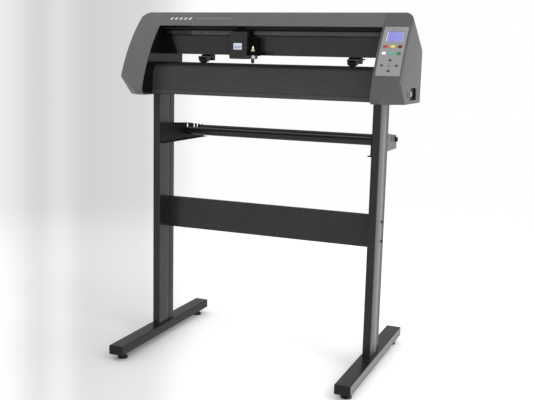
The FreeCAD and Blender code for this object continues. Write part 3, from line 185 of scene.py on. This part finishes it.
def finish(name, base, grain, grain_depth=2e-5, stretch=(1, 1, 1), rough=0.4, rough_var=0.08,
           ior=1.5, metallic=0.0, coat=0.0, coat_rough=0.1, tone_var=0.06, wear=0.25,
           edge_radius=0.0006, scratches=0.0, recolour=None, extra_bump=None):
    """Procedural finish: varied tone and roughness, bumpy grain, worn edges, scratches.

    grain is the noise scale and grain_depth its height in metres. recolour(graph, colour)
    and extra_bump(graph, normal) add local changes.
    """
    material, g, inputs = new_surface(name)
    tone = g.noise(scale=9.0, detail=4.0, rough=0.6)
    fine = g.noise(scale=grain, detail=2.0, rough=0.6, stretch=stretch)
    light = shade(base, 1 + tone_var)
    colour = g.mix(g.ramp(tone, 0.35, 0.65), shade(base, 1 - tone_var), light)
    colour = g.mix(g.mul(g.ramp(fine, 0.42, 0.62), 0.18), colour, light)
    if recolour is not None:
        colour = recolour(g, colour)
    if wear:
        edges = g.edge(edge_radius)
        breaks = g.ramp(g.noise(scale=140.0, detail=5.0, rough=0.7), 0.40, 0.62)
        worn = g.mul(g.mul(edges, breaks), wear)
        colour = g.mix(worn, colour, shade(base, gain=1.9, lift=0.02))
    g.link(colour, inputs["Base Color"])
    smudges = g.noise(scale=38.0, detail=5.0, rough=0.65, stretch=stretch)
    roughness = g.add(rough - rough_var / 2, g.mul(smudges, rough_var))
    if scratches:
        lines = g.noise(scale=260.0, detail=2.0, rough=0.5,
                        stretch=(stretch[0] * 0.06 + 0.02, 1.0, 1.0), offset=(3.1, 0.7, 1.3))
        roughness = g.add(roughness, g.mul(g.ramp(lines, 0.60, 0.72), scratches))
    g.link(roughness, inputs["Roughness"])
    inputs["IOR"].default_value = ior
    inputs["Metallic"].default_value = metallic
    inputs["Coat Weight"].default_value = coat
    inputs["Coat Roughness"].default_value = coat_rough
    normal = g.bump(fine, distance=grain_depth, strength=0.6)
    if extra_bump is not None:
        normal = extra_bump(g, normal)
    g.link(normal, inputs["Normal"])
    return material


PIECE_MATERIAL = {}


def dress(pieces, name, base, **look):
    """Make one finish and note the CAD pieces that wear it."""
    material = finish(name, base, **look)
    for piece in pieces.split():
        PIECE_MATERIAL[piece] = material


# ------------------------------------------------------------------ covers
SHELL = dict(rough=0.34, grain=1500, grain_depth=1.8e-5, tone_var=0.035, wear=0.10, rough_var=0.06)


def painted_light_outer_side(g, colour):
    """Painted light: the flat outer side, lit from the right, is painted a shade paler than the
    curved front.
    """
    x, y, z = g.xyz()
    return g.mix(g.ramp(x, 0.4600, 0.4629), colour, grey(0.088))


dress("left_end_cover", "head_shell", grey(0.100), **SHELL)
dress("right_end_cover", "head_shell_right", grey(0.0715), recolour=painted_light_outer_side, **SHELL)
dress("top_cover", "fascia_paint", grey(0.0940), rough=0.32, grain=1100, grain_depth=1.5e-5,
      tone_var=0.03, wear=0.08, rough_var=0.05)

# ------------------------------------------------------------------ stand
# noise stretch that draws the grain out along x
BRUSHED_X = (0.02, 1, 1)


def leg_painted_light(g, colour):
    """Painted light: the right leg's outer side, lit from the right, is painted paler towards the
    rear, with a painted highlight strip and painted shade on the rear strip.
    """
    dark = (0.020, 0.020, 0.021, 1)
    x, y, z = g.xyz()
    outer = g.above(x, 0.3862)
    # painted light paler towards the rear, then a painted highlight strip, then painted shade at the
    # rear
    pale = g.mix(g.ramp(y, -0.048, 0.006), dark, (0.125, 0.125, 0.128, 1))
    pale = g.mix(g.band(y, 0.0085, 0.0215), pale, (0.30, 0.30, 0.305, 1))
    pale = g.mix(g.above(y, 0.0275), pale, dark)
    colour = g.mix(outer, colour, pale)
    # painted shade: a thin dark line in the groove of the left leg
    line = g.mul(g.band(x, -0.3640, -0.3500), g.band(y, 0.0080, 0.0105))
    return g.mix(line, colour, (0.05, 0.05, 0.052, 1))


def foot_painted_light(g, colour):
    """Painted reflection: the upper part of the right foot's outer side is painted paler, standing
    in for the bright light it reflects from the right.
    """
    x, y, z = g.xyz()
    outer = g.mul(g.above(x, 0.4014), g.ramp(z, 0.021, 0.030))
    return g.mix(outer, colour, (0.17, 0.17, 0.172, 1))


def bracket_painted_light(g, colour):
    """Painted light: the rear part of the right bracket's outer side, lit from the right, is painted
    paler.
    """
    x, y, z = g.xyz()
    return g.mix(g.mul(g.above(x, 0.3608), g.above(y, 0.052)), colour, grey(0.16))


dress("legs", "leg_anodised", (0.0105, 0.0105, 0.0125), rough=0.22, ior=1.55, grain=2200,
      grain_depth=1e-5, stretch=(1, 1, 0.02), tone_var=0.12, wear=0.22, rough_var=0.10,
      scratches=0.15, recolour=leg_painted_light)
dress("foot_tubes foot_end_caps", "foot_paint", (0.009, 0.009, 0.010), rough=0.30, ior=1.39,
      grain=1300, grain_depth=1.5e-5, tone_var=0.10, wear=0.22, rough_var=0.10,
      recolour=foot_painted_light)
dress("cross_panel", "cross_panel_anodised", (0.018, 0.018, 0.020), rough=0.28, ior=1.6,
      grain=2200, grain_depth=1e-5, stretch=BRUSHED_X, tone_var=0.1, wear=0.30)
dress("roll_brackets", "bracket_paint", grey(0.004), rough=0.42, ior=1.25, grain=1200,
      tone_var=0.1, recolour=bracket_painted_light)
dress("rear_rod_caps power_rocker", "black_moulded", grey(0.010), rough=0.42, grain=1600,
      grain_depth=3e-5, tone_var=0.15, wear=0.15)
dress("stand_screws", "screw_black_oxide", grey(0.012), rough=0.34, ior=1.6, grain=3000,
      grain_depth=1e-5, tone_var=0.2, wear=0.35, edge_radius=0.0003)
dress("frame_screws shaft_bearings", "zinc_plate", (0.55, 0.55, 0.54), rough=0.35, metallic=1.0,
      grain=2500, grain_depth=1e-5, tone_var=0.12, wear=0.2, edge_radius=0.0003)
dress("front_roll_rod rear_roll_rod", "rod_black_gloss", (0.014, 0.014, 0.017), rough=0.25,
      ior=1.6, grain=2400, grain_depth=1e-5, stretch=(0.03, 1, 1), tone_var=0.15, wear=0.3,
      rough_var=0.12)


# ------------------------------------------------------------------ body
def apron_painted_light(g, colour):
    """Painted light: paler downwards; the top edge and the lip behind it are painted near black for
    the dark reflection of the beam.
    """
    black = grey(0.003)
    x, y, z = g.xyz()
    lip = g.mul(g.above(z, 0.9438), g.above(y, -0.0335))
    # painted light paler downwards, then painted dark reflection along the top edge and on the lip
    lower = g.ramp(z, 0.850, 0.945, low=1.0, high=0.0)
    colour = g.mix(g.mul(lower, 0.30), colour, grey(0.060))
    colour = g.mix(g.mul(g.ramp(z, 0.9280, 0.9440), 0.90), colour, black)
    return g.mix(lip, colour, black)


def beam_painted_reflection(g, colour):
    """Painted reflection: the left end is painted dark past a slanting line, for the dark reflection
    of the left end cover.
    """
    x, y, z = g.xyz()
    slanted = g.add(x, g.mul(g.sub(z, 1.0), 0.35))
    return g.mix(g.ramp(slanted, -0.3400, -0.3365, low=1.0, high=0.0), colour, grey(0.0015))


def rail_painted_shade(g, colour):
    """Painted shade: darkens towards the left end in two steps, inside the left end cover."""
    x, y, z = g.xyz()
    colour = g.mix(g.ramp(x, -0.2760, -0.2740, low=1.0, high=0.0), colour,
                   (0.010, 0.010, 0.011, 1))
    return g.mix(g.ramp(x, -0.3440, -0.3420, low=1.0, high=0.0), colour, grey(0.002))


dress("front_apron rear_apron", "apron_anodised", grey(0.030), rough=0.30, ior=1.55, grain=2000,
      grain_depth=1e-5, stretch=BRUSHED_X, tone_var=0.08, wear=0.3, rough_var=0.12,
      recolour=apron_painted_light)
dress("platen", "platen_anodised", grey(0.003), rough=0.62, ior=1.25, grain=2000,
      grain_depth=1e-5, stretch=BRUSHED_X, tone_var=0.1, wear=0.05)
dress("guide_beam", "beam_anodised", (0.024, 0.024, 0.026), rough=0.25, grain=2200,
      grain_depth=1e-5, stretch=BRUSHED_X, tone_var=0.08, rough_var=0.10, recolour=beam_painted_reflection)
dress("guide_rail", "rail_blackened", (0.058, 0.058, 0.060), rough=0.24, ior=1.6, grain=2600,
      grain_depth=1e-5, stretch=BRUSHED_X, tone_var=0.1, wear=0.4, recolour=rail_painted_shade)
dress("side_plates", "cheek_paint", grey(0.003), rough=0.13, ior=1.33, grain=1300,
      tone_var=0.12, wear=0.15)
dress("bottom_pan", "pan_paint", grey(0.022), rough=0.45, grain=1200, tone_var=0.1)
dress("cutting_strip", "cutting_strip_resin", grey(0.02), rough=0.55, ior=1.45, grain=900,
      tone_var=0.1, wear=0.0, scratches=0.2)
dress("control_panel", "panel_overlay", grey(0.23), ior=1.45, grain=1700, grain_depth=1.2e-5,
      tone_var=0.025, wear=0.1)

# ------------------------------------------------------------------ keys
KEY_COLOURS = {
    "key_red": "#b91f2b", "key_yellow": "#d3c63c", "key_maroon": "#5e0f18",
    "key_white": "#e2daf0", "key_teal": "#28ab8c", "key_green": "#187a2c",
    "key_up": "#3c3c3c", "key_left": "#3c3c3c", "key_right": "#3c3c3c",
    "key_down": "#3c3c3c", "key_enter": "#857474",
}
for key, text in KEY_COLOURS.items():
    dress(key, key + "_cap", hex_colour(text), rough=0.28, grain=1400, grain_depth=8e-6,
          wear=0.15, edge_radius=0.0004, coat=0.4, coat_rough=0.12)

# ------------------------------------------------------------------ drive and electrics
# grit shaft: axis (y, z), radius beyond which it is knurled, pitch along x, and
# the knurl's angular frequency
SHAFT_Y, SHAFT_Z = 0.020, 0.9345
KNURL_RADIUS = 0.0112
KNURL_PITCH = 0.0016
KNURL_TURNS = 46.0


def knurl(g, normal):
    """Crossed spirals on the thick parts of the grit shaft."""
    x, y, z = g.xyz()
    angle = g.calc("ARCTAN2", g.sub(y, SHAFT_Y), g.sub(z, SHAFT_Z))
    around = g.mul(angle, KNURL_TURNS)
    along = g.mul(x, 2 * math.pi / KNURL_PITCH)
    crossed = g.mul(g.calc("SINE", g.add(around, along)), g.calc("SINE", g.sub(around, along)))
    radius = g.calc("SQRT", g.add(g.calc("POWER", g.sub(y, SHAFT_Y), 2.0),
                                  g.calc("POWER", g.sub(z, SHAFT_Z), 2.0)))
    height = g.mul(crossed, g.above(radius, KNURL_RADIUS))
    return g.bump(height, distance=0.00025, strength=0.9, normal=normal)


dress("main_board", "circuit_board", (0.02, 0.12, 0.045), rough=0.45, grain=700,
      grain_depth=4e-5, tone_var=0.25, wear=0.0)
dress("power_supply", "psu_case", grey(0.5), rough=0.38, metallic=1.0, grain=2000,
      grain_depth=1e-5, stretch=(1, 0.05, 1), tone_var=0.1)
dress("feed_motor carriage_motor tool_solenoid", "motor_body", grey(0.02), grain=1500,
      tone_var=0.15, wear=0.3)
dress("timing_belts", "belt_rubber", grey(0.012), rough=0.7, grain=2500, grain_depth=4e-5,
      tone_var=0.2, wear=0.0)
dress("shaft_pulley feed_motor_pulley carriage_motor_pulley idler_pulley", "pulley_aluminium",
      grey(0.62), rough=0.32, metallic=1.0, grain=2500, grain_depth=1e-5, tone_var=0.08,
      wear=0.2, edge_radius=0.0003)
dress("drive_shaft", "grit_shaft_steel", grey(0.45), rough=0.36, metallic=1.0, grain=2600,
      grain_depth=1e-5, tone_var=0.1, extra_bump=knurl)

# ------------------------------------------------------------------ carriage and pinch wheels
# bottom z, top z and colour of each length of the blade holder
HOLDER_BANDS = (
    (0.0, 0.9488, grey(0.3)),
    (0.9488, 0.9868, grey(0.004)),
    (0.9868, 0.9935, (0.47, 0.54, 0.17, 1)),
    (0.9935, 1.2, grey(0.80)),
)


def holder_colour(g, colour):
    x, y, z = g.xyz()
    for bottom, top, band_colour in HOLDER_BANDS:
        colour = g.mix(g.band(z, bottom, top), colour, band_colour)
    nut = g.mul(g.below(y, -0.0325), g.band(z, 0.9630, 0.9750))
    return g.mix(nut, colour, grey(0.56))


def socket_colour(g, colour):
    """Grey bezel at the front, pale data socket, brass-coloured pin behind it."""
    x, y, z = g.xyz()
    colour = g.mix(g.band(y, -0.06, -0.02), colour, grey(0.30))
    usb = g.mul(g.band(y, 0.0165, 0.0315), g.mul(g.band(z, 0.862, 0.878), g.above(x, 0.4575)))
    colour = g.mix(usb, colour, grey(0.85))
    pin = g.mul(g.band(y, 0.0435, 0.0585),
                g.mul(g.band(z, 0.8655, 0.8735), g.band(x, 0.4430, 0.4545)))
    return g.mix(pin, colour, (0.75, 0.68, 0.45, 1))


def level_colour(g, colour):
    """Paler above the pad."""
    x, y, z = g.xyz()
    return g.mix(g.above(z, 0.0092), colour, grey(0.06))


dress("carriage_cover", "carriage_moulded", (0.0135, 0.0135, 0.0142), rough=0.30, ior=1.55,
      grain=1500, tone_var=0.08, wear=0.2)
dress("carriage_plate tool_slide clamp_screw", "carriage_anodised", grey(0.0015), rough=0.50,
      ior=1.22, grain=2000, grain_depth=1e-5, tone_var=0.2)
dress("blade_holder", "blade_holder_parts", grey(0.5), rough=0.30, ior=1.6, grain=2500,
      grain_depth=1e-5, tone_var=0.05, wear=0.1, edge_radius=0.0003, coat=0.3,
      recolour=holder_colour)
dress("left_pinch_carrier right_pinch_carrier", "pinch_black", grey(0.002), ior=1.3,
      grain=1500, tone_var=0.15, wear=0.2)
dress("left_pinch_arm right_pinch_arm", "pinch_arm_cast", grey(0.035), rough=0.34, grain=1200,
      grain_depth=3e-5, tone_var=0.12, wear=0.3)
dress("left_pinch_wheel right_pinch_wheel", "pinch_tyre", grey(0.012), rough=0.75, grain=1800,
      grain_depth=5e-5, tone_var=0.2, wear=0.0)
dress("power_sockets", "socket_moulded", grey(0.008), rough=0.38, grain=1500, tone_var=0.15,
      wear=0.1, recolour=socket_colour)
dress("levelling_feet", "levelling_pad", grey(0.008), grain=1500, grain_depth=3e-5,
      tone_var=0.15, wear=0.1, recolour=level_colour)
dress("display_module", "display_body", (0.05, 0.05, 0.06), rough=0.35, grain=1500,
      grain_depth=1e-5, tone_var=0.05)

for piece, obj in PIECES.items():
    obj.data.materials.clear()
    obj.data.materials.append(PIECE_MATERIAL[piece])


# ------------------------------------------------------------------ smooth shading
def smooth_group(angle):
    """Modifier group: smooth faces, sharp edges above the angle; the CAD meshes stay as is."""
    tree = bpy.data.node_groups.new("smooth_by_angle", "GeometryNodeTree")
    for direction in ("INPUT", "OUTPUT"):
        tree.interface.new_socket("Geometry", in_out=direction,
                                  socket_type="NodeSocketGeometry")
    new, link = tree.nodes.new, tree.links.new
    group_in, group_out = new("NodeGroupInput"), new("NodeGroupOutput")
    merge = new("GeometryNodeMergeByDistance")
    merge.inputs["Distance"].default_value = 0.000002
    smooth = new("GeometryNodeSetShadeSmooth")
    smooth.domain = "FACE"
    smooth.inputs["Shade Smooth"].default_value = True
    sharpen = new("GeometryNodeSetShadeSmooth")
    sharpen.domain = "EDGE"
    sharpen.inputs["Shade Smooth"].default_value = False
    edge_angle = new("GeometryNodeInputMeshEdgeAngle")
    compare = new("FunctionNodeCompare")
    compare.data_type = "FLOAT"
    compare.operation = "GREATER_THAN"
    compare.inputs[1].default_value = angle
    link(edge_angle.outputs["Unsigned Angle"], compare.inputs[0])
    link(group_in.outputs[0], merge.inputs[0])
    link(merge.outputs[0], smooth.inputs["Geometry"])
    link(smooth.outputs[0], sharpen.inputs["Geometry"])
    link(compare.outputs[0], sharpen.inputs["Selection"])
    link(sharpen.outputs[0], group_out.inputs[0])
    return tree


SMOOTH_GROUP = smooth_group(angle=math.radians(28))
for obj in PIECES.values():
    # stored normals would override the smoothing
    stored = obj.data.attributes.get("custom_normal")
    if stored is not None:
        obj.data.attributes.remove(stored)
    obj.modifiers.new("smooth", "NODES").node_group = SMOOTH_GROUP

# ------------------------------------------------------------------ mesh helpers (millimetres)
# The curved front is an arc about an axis along x, through (y, z) = (21.1, 1112.0).
FRONT_Y, FRONT_Z = 333.5, 724.7
FRONT_RADIUS = math.hypot(FRONT_Y - 21.1, 1112.0 - FRONT_Z)


def on_front(x, z, u=0.0, w=0.0, v=0.0):
    """Point off the curved front at (x, z): u across, w up its tangent, v outwards."""
    a = math.asin((z - FRONT_Z) / FRONT_RADIUS)
    y = FRONT_Y - FRONT_RADIUS * math.cos(a) + w * math.sin(a) - v * math.cos(a)
    return Vector(((x + u) / MM, y / MM, (z + w * math.cos(a) + v * math.sin(a)) / MM))


def flat_at(x, z):
    """Placing function for a flat part that touches the front at (x, z)."""
    return lambda u, w, v: on_front(x, z, u, w, v)


def rounded_loop(half_width, half_height, radius, steps=6):
    cx, cy = half_width - radius, half_height - radius
    points = []
    for x, y, start in ((cx, cy, 0), (-cx, cy, 90), (-cx, -cy, 180), (cx, -cy, 270)):
        for i in range(steps + 1):
            a = math.radians(start + 90 * i / steps)
            points.append((x + radius * math.cos(a), y + radius * math.sin(a)))
    return points


def slab(bm, loop, place, bottom, top, crown, edge):
    """Closed slab on a (u, w) loop; a softened top if edge > 0, a raised middle if crown > 0."""
    # height and inset of each ring
    profile = [(bottom, 0.0)]
    if edge > 0:
        profile += [(top - edge, 0.0), (top - edge * 0.3, edge * 0.3), (top, edge)]
    else:
        profile += [(top, 0.0)]
    cu = sum(p[0] for p in loop) / len(loop)
    cw = sum(p[1] for p in loop) / len(loop)
    rings = []
    for v, inset in profile:
        ring = []
        for u, w in loop:
            reach = math.hypot(u - cu, w - cw)
            k = max(0.0, (reach - inset) / reach)
            ring.append(bm.verts.new(place(cu + (u - cu) * k, cw + (w - cw) * k, v)))
        rings.append(ring)
    count = len(loop)
    for low, high in zip(rings[:-1], rings[1:]):
        for i in range(count):
            j = (i + 1) % count
            bm.faces.new((low[i], low[j], high[j], high[i]))
    bm.faces.new(list(reversed(rings[0])))
    last = rings[-1]
    if crown:
        peak = bm.verts.new(place(cu, cw, top + crown))
        for i in range(count):
            bm.faces.new((last[i], last[(i + 1) % count], peak))
    else:
        bm.faces.new(last)


def link_mesh(name, bm):
    mesh = bpy.data.meshes.new(name)
    bm.to_mesh(mesh)
    bm.free()
    obj = bpy.data.objects.new(name, mesh)
    bpy.context.scene.collection.objects.link(obj)
    return obj


def add_slabs(name, loops, place, bottom, top, material, body, crown=0.0, edge=0.0):
    """One object of a slab per loop, riding on a body."""
    bm = bmesh.new()
    for loop in loops:
        slab(bm, loop, place, bottom, top, crown, edge)
    bmesh.ops.recalc_face_normals(bm, faces=bm.faces)
    obj = link_mesh(name, bm)
    mesh = obj.data
    for polygon in mesh.polygons:
        polygon.use_smooth = True
    mesh.set_sharp_from_angle(angle=math.radians(35))
    mesh.materials.append(material)
    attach(obj, body)


# ------------------------------------------------------------------ display
LCD_X, LCD_Z = 419.9, 1036.6
LCD_HALF_WIDTH, LCD_HALF_HEIGHT = 24.5, 19.2
LCD_GAP = 0.15
# reach of the lit field from the centre: left, right, down, up
LIT_LEFT, LIT_RIGHT, LIT_DOWN, LIT_UP = 22.3, 22.9, 15.4, 16.6


def lcd_material():
    """Blue lit field with a fine dot grid inside a pale border."""
    material, g, inputs = new_surface("lcd_backlit")
    x, y, z = g.xyz()
    dots = g.calc("MAXIMUM", g.wave(x, pitch=0.0009), g.wave(z, pitch=0.0008))
    grid = g.ramp(dots, 0.75, 1.0)
    tone = g.ramp(g.noise(scale=30.0), 0.3, 0.7)
    colour = g.mix(tone, (0.190, 0.190, 0.495, 1), (0.230, 0.231, 0.530, 1))
    colour = g.mix(g.mul(grid, 0.22), colour, (0.18, 0.17, 0.62, 1))
    lit = g.mul(g.band(x, (LCD_X - LIT_LEFT) / MM, (LCD_X + LIT_RIGHT) / MM),
                g.band(z, (LCD_Z - LIT_DOWN) / MM, (LCD_Z + LIT_UP) / MM))
    colour = g.mix(lit, (0.62, 0.62, 0.74, 1), colour)
    g.link(colour, inputs["Base Color"])
    g.link(colour, inputs["Emission Color"])
    inputs["Emission Strength"].default_value = 0.12
    g.link(g.ramp(tone, 0, 1, low=0.16, high=0.24), inputs["Roughness"])
    grain = g.noise(scale=900, detail=2)
    g.link(g.bump(grain, distance=5e-6, strength=0.3), inputs["Normal"])
    return material


screen = rounded_loop(LCD_HALF_WIDTH - LCD_GAP, LCD_HALF_HEIGHT - LCD_GAP, radius=0.9)
add_slabs("lcd_screen", [screen], flat_at(LCD_X, LCD_Z), bottom=-0.38, top=-0.05,
          material=lcd_material(), body="frame")

# ------------------------------------------------------------------ lights above the display
INDICATOR_X, INDICATOR_Z, INDICATOR_PITCH = 418.5, 1058.6, 11.0

lens = finish("indicator_lens", (0.02, 0.03, 0.02), rough=0.2, grain=900, grain_depth=5e-6,
              tone_var=0.1, wear=0.0)
for i in range(3):
    add_slabs("indicator_%d" % (i + 1), [rounded_loop(1.9, 1.1, radius=1.0, steps=5)],
              flat_at(INDICATOR_X + (i - 1) * INDICATOR_PITCH, INDICATOR_Z),
              bottom=1.2, top=1.95, material=lens, body="frame",
              crown=0.18, edge=0.3)

# ------------------------------------------------------------------ marks on the keys
MARK_BOTTOM, MARK_TOP = 2.6, 2.76
ARROW = ((1.5, 0.0), (-0.9, 1.25), (-0.9, -1.25))  # pointing right
# x, z and turn in degrees of each arrow
ARROWS = {"key_up": (420.4, 967.5, 90), "key_left": (397.8, 952.7, 180),
          "key_right": (442.0, 952.7, 0), "key_down": (419.8, 937.5, 270)}

mark_ink = finish("key_mark_ink", grey(0.20), rough=0.5, grain=2000, grain_depth=5e-6,
                  tone_var=0.05, wear=0.0)


def key_mark(key, loop, x, z):
    add_slabs(key + "_mark", [loop], flat_at(x, z), MARK_BOTTOM, MARK_TOP, mark_ink,
              key + "_body")


for key, (x, z, turn) in ARROWS.items():
    cos, sin = math.cos(math.radians(turn)), math.sin(math.radians(turn))
    key_mark(key, [(u * cos - w * sin, u * sin + w * cos) for u, w in ARROW], x, z)
key_mark("key_enter", rounded_loop(1.1, 1.1, radius=1.05), 420.2, 952.7)

# ------------------------------------------------------------------ wordless emblem on the cover
EMBLEM_Z = 1088.4
BAR_COUNT, BAR_START, BAR_PITCH = 5, -347.0, 17.0
BAR_WIDTH, BAR_HALF_HEIGHT, BAR_SLANT = 8.0, 3.6, 0.42
STRIPE_LEFT, STRIPE_RIGHT, STRIPE_HALF_HEIGHT = -254.0, -130.0, 0.9


def slanted_bar(left):
    right, h = left + BAR_WIDTH, BAR_HALF_HEIGHT
    lean = h * BAR_SLANT
    return [(left + lean, h), (right + lean, h), (right - lean, -h), (left - lean, -h)]


def printed(name, loops, top, material):
    """Thin shapes wrapped on the front; loops are (x, height above the emblem line)."""
    add_slabs(name, loops, lambda u, w, v: on_front(u, EMBLEM_Z + w, v=v), -0.05, top,
              material, "frame")


INK = dict(grain=1500, grain_depth=6e-6, tone_var=0.04, wear=0.0)
pale_ink = finish("emblem_ink", grey(0.50), **INK)
grey_ink = finish("emblem_ink_grey", grey(0.22), **INK)
bars = [slanted_bar(BAR_START + i * BAR_PITCH) for i in range(BAR_COUNT)]
printed("fascia_emblem", bars, top=0.12, material=pale_ink)
stripe = [(STRIPE_LEFT, STRIPE_HALF_HEIGHT), (STRIPE_LEFT, -STRIPE_HALF_HEIGHT),
          (STRIPE_RIGHT, -STRIPE_HALF_HEIGHT), (STRIPE_RIGHT, STRIPE_HALF_HEIGHT)]
printed("fascia_stripe", [stripe], top=0.10, material=grey_ink)

# ------------------------------------------------------------------ carriage label
LABEL_X, LABEL_Y, LABEL_Z = -90.8, -36.0, 1001.3


def label_material():
    """Pale blue label with a row of dark blocks."""
    material, g, inputs = new_surface("label_print")
    x, y, z = g.xyz()
    row = g.mul(g.band(z, 0.9960, 1.0034), g.band(x, -0.1036, -0.0784))
    blocks = g.ramp(g.wave(x, pitch=0.0062), -0.3, 0.3)
    tone = g.ramp(g.noise(scale=60), 0.3, 0.7)
    colour = g.mix(tone, (0.49, 0.56, 0.68, 1), (0.56, 0.62, 0.73, 1))
    colour = g.mix(g.mul(g.mul(row, blocks), 0.85), colour, (0.10, 0.13, 0.20, 1))
    g.link(colour, inputs["Base Color"])
    inputs["Roughness"].default_value = 0.35
    grain = g.noise(scale=1500, detail=2)
    g.link(g.bump(grain, distance=8e-6, strength=0.4), inputs["Normal"])
    return material


def on_label(u, w, v):
    return Vector(((LABEL_X + u) / MM, (LABEL_Y - v) / MM, (LABEL_Z + w) / MM))


add_slabs("carriage_label", [rounded_loop(14.5, 10.1, radius=1.2, steps=4)], on_label,
          bottom=-0.05, top=0.22, material=label_material(), body="carriage",
          edge=0.06)

# ------------------------------------------------------------------ floor
# place across the picture and display grey (0 to 255) of the painted shade bands; white from the
# last one on
BACKDROP = ((0.0, 240), (0.04, 226), (0.075, 206), (0.112, 231), (0.15, 206),
            (0.20, 212), (0.26, 214), (0.30, 222), (0.345, 246), (0.38, 255))
FLOOR_RADIUS, FLOOR_SIDES = 6.0, 48


def backdrop(g, across):
    """Painted shade across the picture: grey bands at the left, white from a third on."""
    bands = g.node("ShaderNodeValToRGB")
    bands.color_ramp.interpolation = "B_SPLINE"
    stops = bands.color_ramp.elements
    for i, (position, level) in enumerate(BACKDROP):
        stop = stops[0] if i == 0 else stops.new(position)
        stop.color = grey((level / 255.0) ** 2.2)
    g.link(across, bands.inputs[0])
    return bands.outputs[0]


def floor_material():
    """Pale matt floor, darkened by the painted shade bands across the picture, that fades to clear
    with distance from the machine.
    """
    material = bpy.data.materials.new("floor_pale")
    g = blank_graph(material)
    output = g.node("ShaderNodeOutputMaterial")
    matt = g.node("ShaderNodeBsdfDiffuse")
    colour = g.mix(g.ramp(g.noise(scale=1.2), 0.3, 0.7), grey(0.93), grey(0.95))
    # painted shade bands multiplied onto the floor
    colour = g.mix(1.0, colour, backdrop(g, g.window_x()), blend_type="MULTIPLY")
    g.link(colour, matt.inputs[0])
    clear = g.node("ShaderNodeBsdfTransparent")
    x, y, z = g.xyz()
    distance = g.calc("SQRT", g.add(g.mul(x, x), g.mul(y, y)))
    fade = g.node("ShaderNodeMixShader")
    g.link(g.ramp(distance, 1.3, 3.2), fade.inputs[0])
    g.link(matt.outputs[0], fade.inputs[1])
    g.link(clear.outputs[0], fade.inputs[2])
    g.link(fade.outputs[0], output.inputs[0])
    return material


def add_floor():
    bm = bmesh.new()
    centre = bm.verts.new((0, 0, 0))
    angles = [2 * math.pi * i / FLOOR_SIDES for i in range(FLOOR_SIDES)]
    ring = [bm.verts.new((FLOOR_RADIUS * math.cos(a), FLOOR_RADIUS * math.sin(a), 0))
            for a in angles]
    for i in range(FLOOR_SIDES):
        bm.faces.new((centre, ring[i], ring[(i + 1) % FLOOR_SIDES]))
    floor = link_mesh("floor", bm)
    floor.data.materials.append(floor_material())
    floor.visible_glossy = False


add_floor()

scene = bpy.context.scene
scene.view_settings.view_transform = "Standard"
scene.view_settings.look = "None"


# ------------------------------------------------------------------ world
def lobe(g, view, direction, strength, start, full):
    """Soft light about a direction; start and full are cosines of the angle from it."""
    dot = g.node("ShaderNodeVectorMath", operation="DOT_PRODUCT")
    unit = g.node("ShaderNodeVectorMath", operation="NORMALIZE")
    g.link(view, unit.inputs[0])
    g.link(unit.outputs[0], dot.inputs[0])
    dot.inputs[1].default_value = Vector(direction).normalized()
    return g.mul(g.ramp(dot.outputs["Value"], start, full), strength)


def background(g, colour):
    made = g.node("ShaderNodeBackground")
    g.link(colour, made.inputs[0])
    return made.outputs[0]


def grey_background(g, value):
    combine = g.node("ShaderNodeCombineColor")
    for i in range(3):
        g.link(value, combine.inputs[i])
    return background(g, combine.outputs[0])


def choose(g, factor, a, b):
    made = g.node("ShaderNodeMixShader")
    for i, source in enumerate((factor, a, b)):
        g.link(source, made.inputs[i])
    return made.outputs[0]


def build_world():
    world = bpy.data.worlds.new("studio")
    scene.world = world
    g = blank_graph(world)
    output = g.node("ShaderNodeOutputWorld")
    ray = g.node("ShaderNodeLightPath").outputs
    view = g.node("ShaderNodeTexCoord").outputs["Generated"]
    # for matt surfaces: soft, a little stronger from the right and above
    matt = g.add(0.80, g.add(
        lobe(g, view, direction=(1.0, -0.2, 0.4), strength=0.56, start=-0.2, full=1.0),
        lobe(g, view, direction=(0, -0.3, 1.0), strength=0.35, start=0.0, full=1.0)))
    # what glossy surfaces see
    glossy = g.add(0.50, g.add(
        lobe(g, view, direction=(0.55, 0.80, -0.10), strength=0.1, start=0.55, full=1.0),
        lobe(g, view, direction=(1.0, 0.1, 0.2), strength=0.2, start=0.3, full=1.0)))
    # painted shade bands seen behind the machine
    seen = backdrop(g, g.window_x())
    lit = choose(g, ray["Is Glossy Ray"], grey_background(g, matt), grey_background(g, glossy))
    g.link(choose(g, ray["Is Camera Ray"], lit, background(g, seen)), output.inputs[0])


build_world()


# ------------------------------------------------------------------ light and camera
def add_light(name, location, target, size, power):
    data = bpy.data.lights.new(name, "AREA")
    data.shape = "RECTANGLE"
    data.size, data.size_y = size
    data.energy = power
    light = bpy.data.objects.new(name, data)
    light.location = location
    aim = Vector(target) - Vector(location)
    light.rotation_euler = aim.to_track_quat("-Z", "Y").to_euler()
    scene.collection.objects.link(light)


def add_camera(location, yaw, pitch, roll, lens):
    """Level and facing +y before the turns, given in degrees."""
    data = bpy.data.cameras.new("camera")
    data.sensor_width = 36.0
    data.sensor_fit = "HORIZONTAL"
    data.lens = lens
    camera = bpy.data.objects.new("camera", data)
    scene.collection.objects.link(camera)
    turn = (Matrix.Rotation(math.radians(yaw), 3, "Z") @ Matrix.Rotation(math.radians(pitch), 3, "X")
            @ Matrix.Rotation(math.radians(roll), 3, "Y"))
    right, forward, up = turn.col
    pose = Matrix((right, up, -forward)).transposed().to_4x4()
    pose.translation = Vector(location)
    camera.matrix_world = pose
    scene.camera = camera


add_light("soft_right", location=(2.6, -1.2, 2.2), target=(0, 0, 0.7), size=(1.6, 2.0), power=23.0)
add_camera(location=(1.0185, -2.4852, 0.9575), yaw=22.13, pitch=-9.44, roll=-1.39, lens=56.285393)
